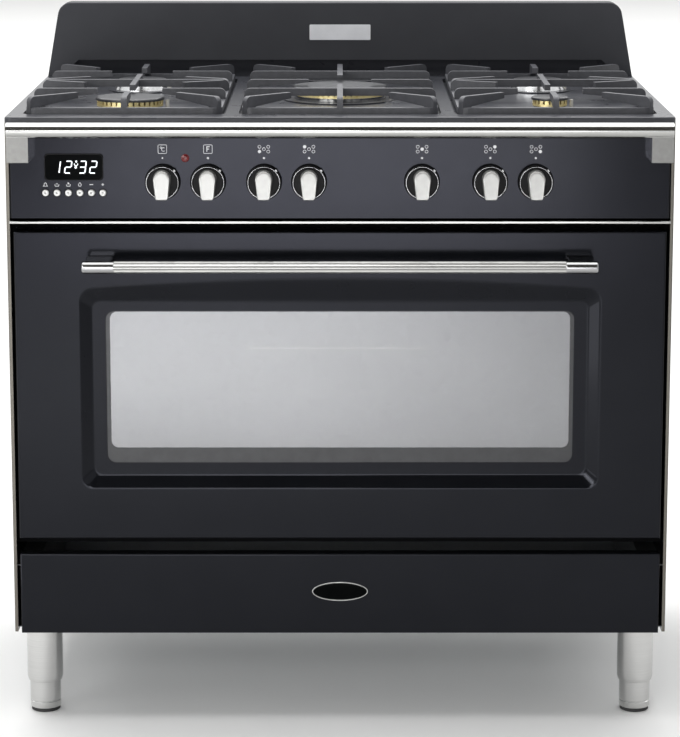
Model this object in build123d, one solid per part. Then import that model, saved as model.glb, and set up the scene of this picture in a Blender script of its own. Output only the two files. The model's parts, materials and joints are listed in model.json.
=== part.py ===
"""A free-standing range cooker, 90 cm wide: gas hob, electric oven with a drop-down door, storage drawer.

Millimetres. +Z is up, the front faces -Y and the origin is on the floor under the middle of the overall box.
"""

from build123d import *
import math
import os

# Overall sizes
overall_width = 900.0
body_depth = 600.0
sheet = 1.2
seat_gap = 0.3
run_gap = 0.05

# Heights of the front, from the floor up
leg_height = 128.0
drawer_front_height = 113.0
drawer_gap = 22.0
door_height = 426.0
door_top_gap = 11.0
trim_height = 3.4
trim_gap = 3.6
control_height = 128.0
hob_gap = 1.0
hob_lip = 8.0
upstand_height = 113.0

# Side panels and back
side_setback = 8.0
side_hem = 4.5
side_hem_depth = 22.0
rear_flange = 16.0
vent_slot_width = 60.0
vent_slot_height = 4.0
vent_slot_pitch = 12.0
vent_rows = 6
vent_columns = 4
vent_column_pitch = 90.0
vent_rise = 480.0
wall_hole_radius = 3.25
wall_hole_spacing = 400.0
wall_hole_drop = 40.0

# Oven
frame_reveal = 5.0
gasket_space = 6.0
gasket_width = 10.0
gasket_offset = 4.0
mouth_width = 720.0
mouth_height = 360.0
mouth_rise = 36.0
cavity_depth = 410.0
cavity_flange = 9.0
rack_wire = 2.5
rack_levels = 5
rack_pitch = 55.0
rack_first_rise = 35.0
rack_wall_gap = 5.0
rack_front_inset = 40.0
rack_rear_inset = 60.0
shelf_level = 2
shelf_wire = 3.0
shelf_bar = 1.6
shelf_bars = 22
shelf_front_inset = 25.0
shelf_rear_inset = 50.0
fan_radius = 70.0
fan_hub_radius = 14.0
fan_shaft_radius = 4.0
fan_blades = 12
fan_blade_depth = 18.0
fan_wall_gap = 10.0
fan_cover_width = 300.0
fan_cover_height = 250.0
fan_cover_depth = 40.0
fan_cover_hole = 6.0
motor_radius = 32.0
motor_length = 55.0
motor_flange = 90.0
element_radius = 3.25
grill_drop = 28.0
grill_bend = 28.0
grill_side_inset = 80.0
grill_lane = 140.0
grill_lead = 60.0
grill_front_inset = 60.0
ring_element_radius = 95.0
ring_lead = 14.0

# Door
door_side_gap = 5.5
door_thickness = 42.0
door_pan_depth = 24.0
recess_width = 705.0
recess_rise = 71.5
recess_side_height = 275.0
recess_arch = 12.5
recess_corner = 16.0
recess_depth = 9.0
recess_wall = 15.5
recess_floor_corner = 12.0
window_margin = 19.0
window_sill = 18.0
window_head = 15.0
window_corner = 12.0
glass_thickness = 4.0
glass_overlap = 12.0
inner_window_inset = 2.5
inner_sill_rise = 12.0
inner_head_rise = 6.0
inner_window_corner = 10.0
inner_glass_overlap = 14.0
handle_bar_diameter = 17.0
handle_standoff = 52.0
handle_length = 688.0
handle_end_length = 42.0
handle_post_width = 38.0
handle_drop = 40.0
handle_wall = 1.5
hinge_side_inset = 55.0
hinge_inset = 22.0
hinge_rise = 10.0
hinge_arm_thickness = 5.0
hinge_arm_height = 10.0
hinge_arm_tail = 30.0
hinge_eye_radius = 7.0
hinge_pin_radius = 3.0
hinge_cheek = 2.0
hinge_side_play = 1.5
hinge_body_height = 70.0
hinge_web_inset = 14.0

# Drawer
drawer_front_depth = 20.0
drawer_lip = 18.0
drawer_box_depth = 470.0
drawer_box_floor = 12.0
drawer_box_height = 76.0
drawer_side_room = 28.0
drawer_ledge = 12.0
runner_height = 24.0

# Control panel
control_depth = 34.0
knob_rise = 50.0
thermostat_x = -238.0
function_x = -177.0
front_left_x = -102.0
rear_left_x = -41.5
centre_x = 110.0
rear_right_x = 201.5
front_right_x = 262.5
knob_gap = 1.5
skirt_radius = 24.2
skirt_front_radius = 22.4
skirt_height = 9.0
knob_ring_radius = 21.8
knob_ring_width = 1.3
knob_ring_height = 1.2
lever_top = 17.7
lever_top_radius = 11.6
lever_low = 21.3
lever_low_half = 8.5
lever_height = 22.0
lever_round = 1.8
spindle_radius = 3.0
spindle_socket = 6.0
spindle_reach = 58.0
panel_hole_radius = 4.0
neck_radius = 6.5
valve_front = 40.0
valve_depth = 42.0
valve_half_width = 13.0
valve_above = 14.0
switch_half = 20.0
switch_depth = 35.0
display_side_inset = 88.5
display_rise = 70.0
display_width = 79.0
display_height = 36.0
display_corner = 5.0
display_proud = 2.0
display_body_inset = 3.0
display_body_depth = 22.0
button_pitch = 15.4
button_count = 6
button_rise = 35.0
button_radius = 4.3
button_proud = 2.4
button_length = 12.0
button_flange = 1.4
button_flange_depth = 1.5
button_travel_room = 2.0
lamp_x = -207.5
lamp_rise = 82.0
lamp_radius = 5.5
lamp_proud = 2.0
lamp_stem_radius = 4.4
lamp_stem = 14.0
control_side_gap = 2.8
control_tab_depth = 10.0
trim_depth = 12.0
trim_proud = 1.0

# Rail above the control panel
rail_radius = 10.5
rail_wall = 1.5
rail_standoff = 33.5
rail_drop = 5.0
rail_end_length = 40.0
bracket_width = 29.0
bracket_drop = 43.0
bracket_reach = 40.0

# Hob
hob_corner = 10.0
well_pitch = 292.0
well_rib = 18.0
well_front_inset = 33.0
well_rear_inset = 23.0
well_corner = 18.0
well_depth = 6.0
burner_pad_rise = 2.0
burner_pad_margin = 15.0
burner_row_offset = 126.0
upstand_setback = 560.0
upstand_depth = 36.0
upstand_side_inset = 3.0
upstand_taper = 20.0
upstand_corner = 20.0
flue_height = 26.0
flue_side_inset = 50.0
flue_chamfer = 10.0
flue_lip_lap = 6.0
flue_recess = 12.0

# Burners
rapid_radius = 46.0
medium_radius = 34.0
small_radius = 24.0
wok_radius = 66.0
wok_flange = 5.5
burner_flange = 3.0
burner_ring_height = 8.5
burner_ring_width = 7.0
burner_cap_height = 4.0
burner_cap_overhang = 2.0
burner_cap_round = 2.0
burner_slot_width = 2.4
burner_slot_depth = 5.5
burner_slot_pitch = 8.0
cup_radius = 17.0
cup_drop = 34.0
cup_floor = 5.0
jet_radius = 6.0
cup_play = 0.5
electrode_radius = 2.6
electrode_gap = 3.5
electrode_height = 11.0
electrode_tail = 16.0

# Pan supports
grate_width = 266.0
grate_depth = 490.0
grate_side_play = 4.0
grate_end_play = 7.0
grate_corner = 14.0
grate_bar = 10.0
grate_bar_height = 9.0
grate_foot = 5.0
grate_foot_radius = 6.0
grate_height = 29.0
finger_thickness = 8.0
finger_corner = 8.0
finger_tip = 8.0
finger_slope = 6.0
finger_root = 11.0
finger_web = 10.0
burner_clearance = 45.0
wok_clearance = 62.0
wok_finger_tip = 4.0
diagonal_length = 84.0
mid_diagonal_length = 70.0
mid_diagonal_angle = 28.0
mid_diagonal_offset = 9.0
beam_height = 9.5
beam_slope = 1.0

# Gas pipes
manifold_radius = 9.0
manifold_bore = 7.0
manifold_drop = 24.0
manifold_setback = 62.0
manifold_end = 20.0
manifold_side_inset = 25.0
manifold_bend = 30.0
inlet_reach = 22.0
inlet_radius = 10.4775
inlet_length = 20.0
inlet_hole_play = 3.0
pipe_radius = 4.0
pipe_bore = 3.0
pipe_rise = 2.0
pipe_straight = 28.0
pipe_bend = 18.0

# Mains terminal box on the back
terminal_side_inset = 120.0
terminal_rise = 180.0
terminal_width = 90.0
terminal_height = 70.0
terminal_depth = 18.0
terminal_wall = 2.0
gland_radius = 6.5
gland_wall = 2.5
gland_length = 12.0

# Legs
leg_side_inset = 35.0
leg_front_inset = 62.0
leg_rear_inset = 70.0
sleeve_radius = 25.0
sleeve_low = 44.0
sleeve_lip = 6.0
sleeve_lip_inset = 1.6
foot_radius = 21.5
foot_stem_room = 40.0
foot_pad_height = 5.0
foot_pad_inset = 1.5

# Planes worked out from the sizes above
handle_reach = handle_standoff + handle_bar_diameter / 2
overall_depth = handle_reach + body_depth + inlet_reach
front = -overall_depth / 2 + handle_reach
back = front + body_depth
body_bottom = leg_height
drawer_top = body_bottom + drawer_front_height
door_bottom = drawer_top + drawer_gap
door_top = door_bottom + door_height
trim_bottom = door_top + door_top_gap
control_bottom = trim_bottom + trim_height + trim_gap
control_top = control_bottom + control_height
hob_under = control_top + hob_gap
hob_top = hob_under + hob_lip
half_width = overall_width / 2
side_inner = half_width - sheet
hem_inner = half_width - side_hem
door_half = hem_inner - door_side_gap
control_half = hem_inner - control_side_gap
hinge_x = door_half - hinge_side_inset
leg_x = half_width - leg_side_inset
flue_half_width = half_width - flue_side_inset
terminal_x = -half_width + terminal_side_inset
display_x = -hem_inner + display_side_inset
button_first_x = display_x - button_pitch * (button_count - 1) / 2
window_width = recess_width - 2 * (recess_wall + window_margin)
window_height = recess_side_height - 2 * recess_wall - window_sill - window_head
inner_window_width = window_width - 2 * inner_window_inset
inner_window_height = window_height - inner_sill_rise + inner_head_rise
inner_window_sill = window_sill + inner_sill_rise
frame_face = front + door_thickness + gasket_space
cavity_front = frame_face + sheet
cavity_rear = cavity_front + cavity_depth
mouth_low = door_bottom + mouth_rise
mouth_high = mouth_low + mouth_height
mouth_half = mouth_width / 2
grill_half_width = mouth_half - grill_side_inset
mouth_middle = (mouth_low + mouth_high) / 2
knob_z = control_bottom + knob_rise
manifold_y = front + manifold_setback
manifold_z = knob_z - manifold_drop
hinge_y = front + hinge_inset
hinge_z = door_bottom + hinge_rise
well_width = grate_width + 2 * grate_side_play
well_depth_y = grate_depth + 2 * grate_end_play
bay_pitch = max(well_pitch, well_width + well_rib)
upstand_front = front + max(upstand_setback, well_front_inset + well_depth_y + well_rear_inset)
hob_back = max(back - sheet, upstand_front + upstand_depth)
well_floor = hob_top - well_depth
well_middle = front + well_front_inset + well_depth_y / 2
burner_base = well_floor + burner_pad_rise
row_front = well_middle - burner_row_offset
row_rear = well_middle + burner_row_offset
grate_low = well_floor + grate_foot
grate_top = well_floor + grate_height
skirt_back = front - knob_gap
skirt_face = skirt_back - skirt_height
sides = (-1, 1)

burners = {
    "front_left": (-bay_pitch, row_front, rapid_radius, front_left_x),
    "rear_left": (-bay_pitch, row_rear, medium_radius, rear_left_x),
    "centre": (0.0, well_middle, wok_radius, centre_x),
    "rear_right": (bay_pitch, row_rear, medium_radius, rear_right_x),
    "front_right": (bay_pitch, row_front, small_radius, front_right_x),
}
oven_knobs = {"thermostat": thermostat_x, "function": function_x}
gas_knobs = {name: burner[3] for name, burner in burners.items()}
parts = {}


# Small shape helpers
def block(x0, x1, y0, y1, z0, z1):
    middle = Pos((x0 + x1) / 2, (y0 + y1) / 2, (z0 + z1) / 2)
    return middle * Box(abs(x1 - x0), abs(y1 - y0), abs(z1 - z0))


def rod_x(x0, x1, y, z, radius):
    return Pos((x0 + x1) / 2, y, z) * Rot(0, 90, 0) * Cylinder(radius, abs(x1 - x0))


def rod_y(x, y0, y1, z, radius):
    return Pos(x, (y0 + y1) / 2, z) * Rot(90, 0, 0) * Cylinder(radius, abs(y1 - y0))


def rod_z(x, y, z0, z1, radius):
    return Pos(x, y, (z0 + z1) / 2) * Cylinder(radius, abs(z1 - z0))


def front_plane(y):
    return Plane(origin=(0, y, 0), x_dir=(1, 0, 0), z_dir=(0, -1, 0))


def panel(outline, y0, y1):
    return extrude(front_plane(y0) * outline, amount=y1 - y0, dir=(0, 1, 0))


def slab(outline, x, y, z0, z1):
    return extrude(Pos(x, y, z0) * outline, amount=z1 - z0, dir=(0, 0, 1))


def fuse(pieces):
    first, *others = pieces
    return first + others


def tube(points, bend, outer, bore):
    path = FilletPolyline(*points, radius=bend)
    ring = Circle(outer) - Circle(bore) if bore else Circle(outer)
    return sweep(Plane(origin=path @ 0, z_dir=path % 0) * ring, path=path)


# Casing
def make_side_panels():
    panels = []
    for side in sides:
        outer, inner, hem = side * half_width, side * side_inner, side * hem_inner
        y0 = front + side_setback
        z = (body_bottom, hob_under)
        wall = block(outer, inner, y0, back - sheet, *z)
        face = block(outer, hem, y0, y0 + sheet, *z)
        fold = block(hem, hem + side * sheet, y0, y0 + side_hem_depth, *z)
        flange = block(outer, outer - side * rear_flange, back - 2 * sheet, back - sheet, *z)
        panels.append(fuse([wall, face, fold, flange]))
    parts["side_panels"] = panels


def make_back_panel():
    plate = block(-half_width + sheet, half_width - sheet, back - sheet, back, body_bottom, hob_under)
    inlet_x = half_width - manifold_side_inset
    cuts = [rod_y(inlet_x, back - 2 * sheet, back + sheet, manifold_z, manifold_radius + inlet_hole_play)]
    for column in range(vent_columns):
        x = (column - (vent_columns - 1) / 2) * vent_column_pitch
        for row in range(vent_rows):
            z = body_bottom + vent_rise + row * vent_slot_pitch
            slot = Pos(x, z) * SlotOverall(vent_slot_width, vent_slot_height)
            cuts.append(panel(slot, back - 2 * sheet, back + sheet))
    for side in sides:
        x = side * wall_hole_spacing / 2
        cuts.append(rod_y(x, back - 2 * sheet, back + sheet, hob_under - wall_hole_drop, wall_hole_radius))
    parts["back_panel"] = [plate - cuts]


def make_base_panel():
    y0 = front + side_setback + side_hem_depth
    floor = block(-side_inner, side_inner, y0, back - 2 * sheet, body_bottom, body_bottom + sheet)
    parts["base_panel"] = [floor]


def make_front_frame():
    low = drawer_top + frame_reveal
    plate = block(-side_inner, side_inner, frame_face, cavity_front, low, trim_bottom)
    mouth = block(-mouth_half, mouth_half, frame_face - sheet, cavity_front + sheet, mouth_low, mouth_high)
    ledge_half = hem_inner - seat_gap
    ledge_y = front + side_setback
    ledge = block(-ledge_half, ledge_half, ledge_y, frame_face, trim_bottom - sheet, trim_bottom)
    slots = []
    for side in sides:
        half = hinge_arm_thickness / 2 + seat_gap
        height = hinge_arm_height / 2 + seat_gap
        x = side * hinge_x
        slots.append(block(x - half, x + half, frame_face - sheet, cavity_front + sheet,
                           hinge_z - height, hinge_z + height))
    parts["front_frame"] = [plate + ledge - [mouth, *slots]]


# Hob
def make_hob_plate():
    length = hob_back - front
    middle_y = (front + hob_back) / 2
    outline = RectangleRounded(overall_width, length, hob_corner)
    inside = RectangleRounded(overall_width - 2 * sheet, length - 2 * sheet, hob_corner - sheet)
    plate = slab(outline, 0, middle_y, hob_under, hob_top)
    plate -= slab(inside, 0, middle_y, hob_under, hob_top - sheet)
    wells = [side * bay_pitch for side in (-1, 0, 1)]
    tub = RectangleRounded(well_width + 2 * sheet, well_depth_y + 2 * sheet, well_corner + sheet)
    hollow = RectangleRounded(well_width, well_depth_y, well_corner)
    plate += [slab(tub, x, well_middle, well_floor - sheet, hob_top - sheet) for x in wells]
    plate -= [slab(hollow, x, well_middle, well_floor, hob_top) for x in wells]
    pads, holes = [], []
    for x, y, radius, _ in burners.values():
        pads.append(rod_z(x, y, well_floor - sheet, burner_base, radius + burner_pad_margin))
        through = (well_floor - 2 * sheet, burner_base + sheet)
        holes.append(rod_z(x, y, *through, cup_radius + cup_play))
        pin_x = x + radius + electrode_gap + electrode_radius
        holes.append(rod_z(pin_x, y, *through, electrode_radius + seat_gap))
    lip_y = upstand_front + flue_recess
    lip_half = flue_half_width + flue_chamfer + flue_lip_lap
    lip = block(-lip_half, lip_half, lip_y, lip_y + sheet,
                hob_top - sheet, hob_top + flue_height + flue_lip_lap)
    parts["hob_plate"] = [plate + [*pads, lip] - holes]


def upstand_outline(inset):
    low_half = half_width - upstand_side_inset - inset
    top_half = low_half - upstand_taper
    corners = [
        (-low_half, hob_top),
        (low_half, hob_top),
        (top_half, hob_top + upstand_height - inset),
        (-top_half, hob_top + upstand_height - inset),
    ]
    face = make_face(Polyline(*corners, close=True))
    return fillet(face.vertices().sort_by(Axis.Y)[2:], upstand_corner - inset)


def make_upstand():
    y0 = upstand_front
    y1 = y0 + upstand_depth
    shell = panel(upstand_outline(0), y0, y1) - panel(upstand_outline(sheet), y0 + sheet, y1 + sheet)
    flue_corners = [
        (-flue_half_width - flue_chamfer, hob_top),
        (flue_half_width + flue_chamfer, hob_top),
        (flue_half_width + flue_chamfer, hob_top + flue_height - flue_chamfer),
        (flue_half_width, hob_top + flue_height),
        (-flue_half_width, hob_top + flue_height),
        (-flue_half_width - flue_chamfer, hob_top + flue_height - flue_chamfer),
    ]
    flue = panel(make_face(Polyline(*flue_corners, close=True)), y0 - sheet, y0 + 2 * sheet)
    parts["upstand"] = [shell - flue]


def make_burners():
    cups, rings, caps, electrodes = [], [], [], []
    for name, (x, y, radius, _) in burners.items():
        wok = name == "centre"
        flange_top = burner_base + (wok_flange if wok else burner_flange)
        ring_top = flange_top + burner_ring_height
        cup = rod_z(x, y, burner_base, flange_top, radius if wok else radius - burner_cap_overhang)
        cup += rod_z(x, y, hob_top - cup_drop - cup_floor, burner_base, cup_radius)
        cup -= rod_z(x, y, hob_top - cup_drop, flange_top, jet_radius)
        cups.append(cup)
        rings.append(flame_ring(x, y, radius, flange_top, ring_top))
        caps.append(burner_cap(x, y, radius, ring_top))
        pin_x = x + radius + electrode_gap + electrode_radius
        electrodes.append(rod_z(pin_x, y, burner_base - electrode_tail, burner_base + electrode_height,
                                electrode_radius))
    parts["burner_cups"] = cups
    parts["burner_rings"] = rings
    parts["burner_caps"] = caps
    parts["spark_electrodes"] = electrodes


def flame_ring(x, y, radius, low, top):
    slot_low = top - burner_slot_depth
    band = Circle(radius) - Circle(radius - burner_ring_width)
    count = round(2 * math.pi * radius / burner_slot_pitch)
    slot = Pos(radius - burner_ring_width / 2, 0) * Rectangle(burner_ring_width * 1.3, burner_slot_width)
    teeth = band - [Rot(0, 0, 360 / count * k) * slot for k in range(count)]
    ring = slab(band, x, y, low, slot_low)
    return ring + slab(teeth, x, y, slot_low, top)


def burner_cap(x, y, radius, low):
    cap = rod_z(x, y, low, low + burner_cap_height, radius + burner_cap_overhang)
    return fillet(cap.edges().group_by(Axis.Z)[-1], burner_cap_round)


# Pan supports
def blade(start, angle, length, height, slope=finger_slope):
    turn = math.radians(angle)
    plane = Plane(
        origin=(start[0], start[1], 0),
        x_dir=(math.cos(turn), math.sin(turn), 0),
        z_dir=(math.sin(turn), -math.cos(turn), 0),
    )
    bow = finger_corner * (1 - math.sqrt(0.5))
    web_top = grate_top - height - slope
    outline = [
        Line((0, grate_low), (0, grate_top - finger_corner)),
        ThreePointArc((0, grate_top - finger_corner), (bow, grate_top - bow), (finger_corner, grate_top)),
        Line((finger_corner, grate_top), (length, grate_top)),
        Line((length, grate_top), (length, grate_top - height)),
        Line((length, grate_top - height), (finger_root + finger_web, web_top)),
        ThreePointArc(
            (finger_root + finger_web, web_top),
            (finger_root + finger_web * 0.3, web_top - finger_web * 0.3),
            (finger_root, grate_low),
        ),
        Line((finger_root, grate_low), (0, grate_low)),
    ]
    return extrude(plane * make_face(outline), amount=finger_thickness / 2, both=True)


def beam(x, y, half):
    return [blade((x - half, y), 0, half, beam_height, beam_slope),
            blade((x + half, y), 180, half, beam_height, beam_slope)]


def grate_frame(x):
    outline = RectangleRounded(grate_width, grate_depth, grate_corner)
    hole = RectangleRounded(grate_width - 2 * grate_bar, grate_depth - 2 * grate_bar,
                            grate_corner - grate_bar / 2)
    frame = slab(outline - hole, x, well_middle, grate_low, grate_low + grate_bar_height)
    feet = []
    for side in sides:
        for end in sides:
            foot_x = x + side * (grate_width / 2 - grate_bar)
            foot_y = well_middle + end * (grate_depth / 2 - grate_bar)
            feet.append(rod_z(foot_x, foot_y, well_floor, grate_low + grate_bar_height, grate_foot_radius))
    return [frame, *feet]


def corner_blades(x):
    blades = []
    inset = grate_corner * (1 - math.sqrt(0.5))
    for side in sides:
        for end in sides:
            corner = (x + side * (grate_width / 2 - inset), well_middle + end * (grate_depth / 2 - inset))
            angle = math.degrees(math.atan2(-end, -side))
            blades.append(blade(corner, angle, diagonal_length, finger_tip))
    return blades


def make_side_grate(name, x):
    half_w, half_d = grate_width / 2, grate_depth / 2
    pieces = grate_frame(x) + corner_blades(x) + beam(x, well_middle, half_w)
    lean = math.radians(mid_diagonal_angle)
    inset = finger_thickness / 2 * math.sin(lean)
    for end in sides:
        row = well_middle + end * burner_row_offset
        for side in sides:
            side_x = x + side * half_w
            pieces.append(blade((side_x, row), 90 + 90 * side, half_w - burner_clearance, finger_tip))
            angle = math.degrees(math.atan2(end * math.sin(lean), -side * math.cos(lean)))
            start = (x + side * (half_w - inset), well_middle + end * mid_diagonal_offset)
            pieces.append(blade(start, angle, mid_diagonal_length, finger_tip))
        reach = half_d - burner_row_offset - burner_clearance
        pieces.append(blade((x, well_middle + end * half_d), -90 * end, reach, finger_tip))
        half = finger_thickness / 2
        pieces.append(block(x - half, x + half, well_middle, row - end * burner_clearance,
                            grate_top - finger_tip, grate_top))
    parts[name] = [fuse(pieces)]


def make_centre_grate(name, x):
    half_w, half_d = grate_width / 2, grate_depth / 2
    pieces = grate_frame(x) + corner_blades(x)
    for end in sides:
        pieces += beam(x, well_middle + end * burner_row_offset, half_w)
        reach = half_d - wok_clearance
        pieces.append(blade((x, well_middle + end * half_d), -90 * end, reach, wok_finger_tip))
    for side in sides:
        reach = half_w - burner_clearance
        pieces.append(blade((x + side * half_w, well_middle), 90 + 90 * side, reach, wok_finger_tip))
    parts[name] = [fuse(pieces)]


# Control panel and what sits on it
def make_control_panel():
    half = control_half
    outer = block(-half, half, front, front + control_depth, control_bottom, control_top)
    hollow = block(-half + sheet, half - sheet, front + sheet, front + control_depth,
                   control_bottom + sheet, control_top - sheet)
    tab_y = front + side_setback + sheet
    tabs = [block(side * half, side * (hem_inner - seat_gap), tab_y, tab_y + control_tab_depth,
                  control_bottom, control_top) for side in sides]
    through = (front - sheet, front + 2 * sheet)
    cuts = [hollow]
    for x in [*oven_knobs.values(), *gas_knobs.values()]:
        cuts.append(rod_y(x, *through, knob_z, panel_hole_radius))
    for k in range(button_count):
        cuts.append(rod_y(button_first_x + k * button_pitch, *through, control_bottom + button_rise,
                          button_radius + seat_gap))
    cuts.append(rod_y(lamp_x, *through, control_bottom + lamp_rise, lamp_stem_radius + seat_gap))
    window = RectangleRounded(display_width - 2 * display_body_inset + 2 * seat_gap,
                              display_height - 2 * display_body_inset + 2 * seat_gap,
                              display_corner - display_body_inset)
    cuts.append(panel(Pos(display_x, control_bottom + display_rise) * window, *through))
    parts["control_panel"] = [outer + tabs - cuts]


def make_panel_trim():
    half = hem_inner - seat_gap
    y0 = front - trim_proud
    parts["panel_trim"] = [block(-half, half, y0, y0 + trim_depth, trim_bottom, trim_bottom + trim_height)]


def make_timer():
    z = control_bottom + display_rise
    plate = RectangleRounded(display_width, display_height, display_corner)
    inner = RectangleRounded(display_width - 2 * display_body_inset, display_height - 2 * display_body_inset,
                             display_corner - display_body_inset)
    window = panel(Pos(display_x, z) * plate, front - display_proud, front)
    module = panel(Pos(display_x, z) * inner, front, front + display_body_depth)
    parts["timer_display"] = [window + module]
    for k in range(button_count):
        x = button_first_x + k * button_pitch
        y0 = front - button_proud
        flange_y = front + sheet + button_travel_room
        stem = rod_y(x, y0, y0 + button_length, control_bottom + button_rise, button_radius)
        stem = fillet(stem.edges().group_by(Axis.Y)[0], button_flange / 2)
        flange = rod_y(x, flange_y, flange_y + button_flange_depth, control_bottom + button_rise,
                       button_radius + button_flange)
        parts[f"timer_button_{k + 1}"] = [stem + flange]


def make_indicator_lamp():
    z = control_bottom + lamp_rise
    lens = rod_y(lamp_x, front - lamp_proud, front, z, lamp_radius)
    lens = fillet(lens.edges().group_by(Axis.Y)[0], lamp_proud / 2)
    parts["indicator_lamp"] = [lens + rod_y(lamp_x, front, front + lamp_stem, z, lamp_stem_radius)]


def make_knob(name, x):
    skirt = Pos(x, (skirt_back + skirt_face) / 2, knob_z) * Rot(90, 0, 0) * Cone(
        skirt_radius, skirt_front_radius, skirt_height
    )
    skirt -= rod_y(x, skirt_back - spindle_socket, skirt_back, knob_z, spindle_radius + run_gap)
    ring_face = skirt_face - knob_ring_height
    ring = rod_y(x, ring_face, skirt_face, knob_z, knob_ring_radius)
    ring -= rod_y(x, ring_face, skirt_face, knob_z, knob_ring_radius - knob_ring_width)
    shoulder = lever_top - lever_top_radius
    outline = [
        Line((-lever_low_half, -lever_low), (lever_low_half, -lever_low)),
        Line((lever_low_half, -lever_low), (lever_top_radius, shoulder)),
        ThreePointArc((lever_top_radius, shoulder), (0, lever_top), (-lever_top_radius, shoulder)),
        Line((-lever_top_radius, shoulder), (-lever_low_half, -lever_low)),
    ]
    ring_cut = rod_y(x, ring_face - seat_gap, skirt_face, knob_z, knob_ring_radius + seat_gap)
    cut_bore = knob_ring_radius - knob_ring_width - seat_gap
    ring_cut -= rod_y(x, ring_face - seat_gap, skirt_face, knob_z, cut_bore)
    lever = panel(Pos(x, knob_z) * make_face(outline), skirt_face - lever_height, skirt_face)
    lever = fillet(lever.edges().group_by(Axis.Y)[0], lever_round) - ring_cut
    spindle = rod_y(x, skirt_back - spindle_socket, front + spindle_reach, knob_z, spindle_radius)
    parts[f"{name}_knob"] = [skirt, ring, *lever.solids(), spindle]


def make_valves_and_switches():
    valves, switches = [], []
    body_y = front + valve_front
    for x in gas_knobs.values():
        body = block(x - valve_half_width, x + valve_half_width, body_y, body_y + valve_depth,
                     manifold_z, knob_z + valve_above)
        saddle = manifold_radius + run_gap
        body -= rod_x(x - valve_half_width, x + valve_half_width, manifold_y, manifold_z, saddle)
        valves.append(bored_control(x, body, body_y))
    for x in oven_knobs.values():
        body = block(x - switch_half, x + switch_half, body_y, body_y + switch_depth,
                     knob_z - switch_half, knob_z + switch_half)
        switches.append(bored_control(x, body, body_y))
    parts["gas_valves"] = valves
    parts["oven_switches"] = switches


def bored_control(x, body, body_y):
    neck = rod_y(x, front + sheet, body_y, knob_z, neck_radius)
    bore = rod_y(x, front + sheet, front + spindle_reach, knob_z, spindle_radius + run_gap)
    return body + neck - bore


def make_gas_pipes():
    inlet_x = half_width - manifold_side_inset
    start_x = front_left_x - manifold_end
    corner = (inlet_x, manifold_y, manifold_z)
    thread_y = back + inlet_reach - inlet_length
    points = [(start_x, manifold_y, manifold_z), corner, (inlet_x, thread_y, manifold_z)]
    pipe = tube(points, manifold_bend, manifold_radius, manifold_bore)
    cap = rod_x(start_x - sheet, start_x, manifold_y, manifold_z, manifold_radius)
    thread = rod_y(inlet_x, thread_y, back + inlet_reach, manifold_z, inlet_radius)
    thread -= rod_y(inlet_x, thread_y, back + inlet_reach, manifold_z, manifold_bore)
    parts["gas_manifold"] = [pipe + cap + thread]
    pipes = []
    level = knob_z + pipe_rise
    for x, y, _, valve_x in burners.values():
        start_y = front + valve_front + valve_depth
        points = [
            (valve_x, start_y, level),
            (valve_x, start_y + pipe_straight, level),
            (x, y, level),
            (x, y, hob_top - cup_drop - cup_floor),
        ]
        pipes.append(tube(points, pipe_bend, pipe_radius, pipe_bore))
    parts["burner_pipes"] = pipes


# Oven
def make_cavity():
    liner = block(-mouth_half - sheet, mouth_half + sheet, cavity_front, cavity_rear + sheet,
                  mouth_low - sheet, mouth_high + sheet)
    rim = mouth_half + sheet + cavity_flange
    collar = block(-rim, rim, cavity_front, cavity_front + sheet,
                   mouth_low - sheet - cavity_flange, mouth_high + sheet + cavity_flange)
    room = block(-mouth_half, mouth_half, cavity_front, cavity_rear, mouth_low, mouth_high)
    wall = (cavity_rear - sheet, cavity_rear + 2 * sheet)
    holes = [rod_y(0, *wall, mouth_middle, fan_shaft_radius + sheet)]
    for side in sides:
        hole = element_radius + seat_gap
        holes.append(rod_y(side * grill_lead, *wall, mouth_high - grill_drop, hole))
        holes.append(rod_y(side * ring_lead, *wall, mouth_middle - ring_element_radius, hole))
    parts["oven_cavity"] = [liner + collar - [room, *holes]]


def make_gasket():
    half_w, half_h = mouth_half + gasket_offset, mouth_height / 2 + gasket_offset
    corner = gasket_width * 2
    outer = RectangleRounded(2 * (half_w + gasket_width), 2 * (half_h + gasket_width), corner)
    inner = RectangleRounded(2 * half_w, 2 * half_h, corner - gasket_width)
    strip = Pos(0, mouth_middle) * (outer - inner)
    parts["oven_gasket"] = [panel(strip, front + door_thickness + seat_gap, frame_face)]


def make_shelf_racks():
    racks = []
    wire_y = (cavity_front + rack_front_inset, cavity_rear - rack_rear_inset)
    top = rack_first_rise + rack_pitch * (rack_levels - 1)
    for side in sides:
        post_x = side * (mouth_half - rack_wall_gap)
        rail_x = post_x - side * 2 * rack_wire
        wires = []
        for y in wire_y:
            wires.append(rod_z(post_x, y, mouth_low + rack_first_rise - rack_pitch / 2,
                               mouth_low + top + rack_pitch / 2, rack_wire))
            for z in (mouth_low + rack_first_rise, mouth_low + top):
                wires.append(rod_x(side * mouth_half, post_x, y, z - rack_pitch / 4, rack_wire))
        for level in range(rack_levels):
            z = mouth_low + rack_first_rise + level * rack_pitch
            rail = (wire_y[0] - rack_front_inset / 2, wire_y[1] + rack_wire)
            wires.append(rod_y(rail_x, *rail, z, rack_wire))
            wires += [rod_x(rail_x, post_x, y, z, rack_wire * 0.8) for y in wire_y]
        racks.append(fuse(wires))
    parts["shelf_racks"] = racks


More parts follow.
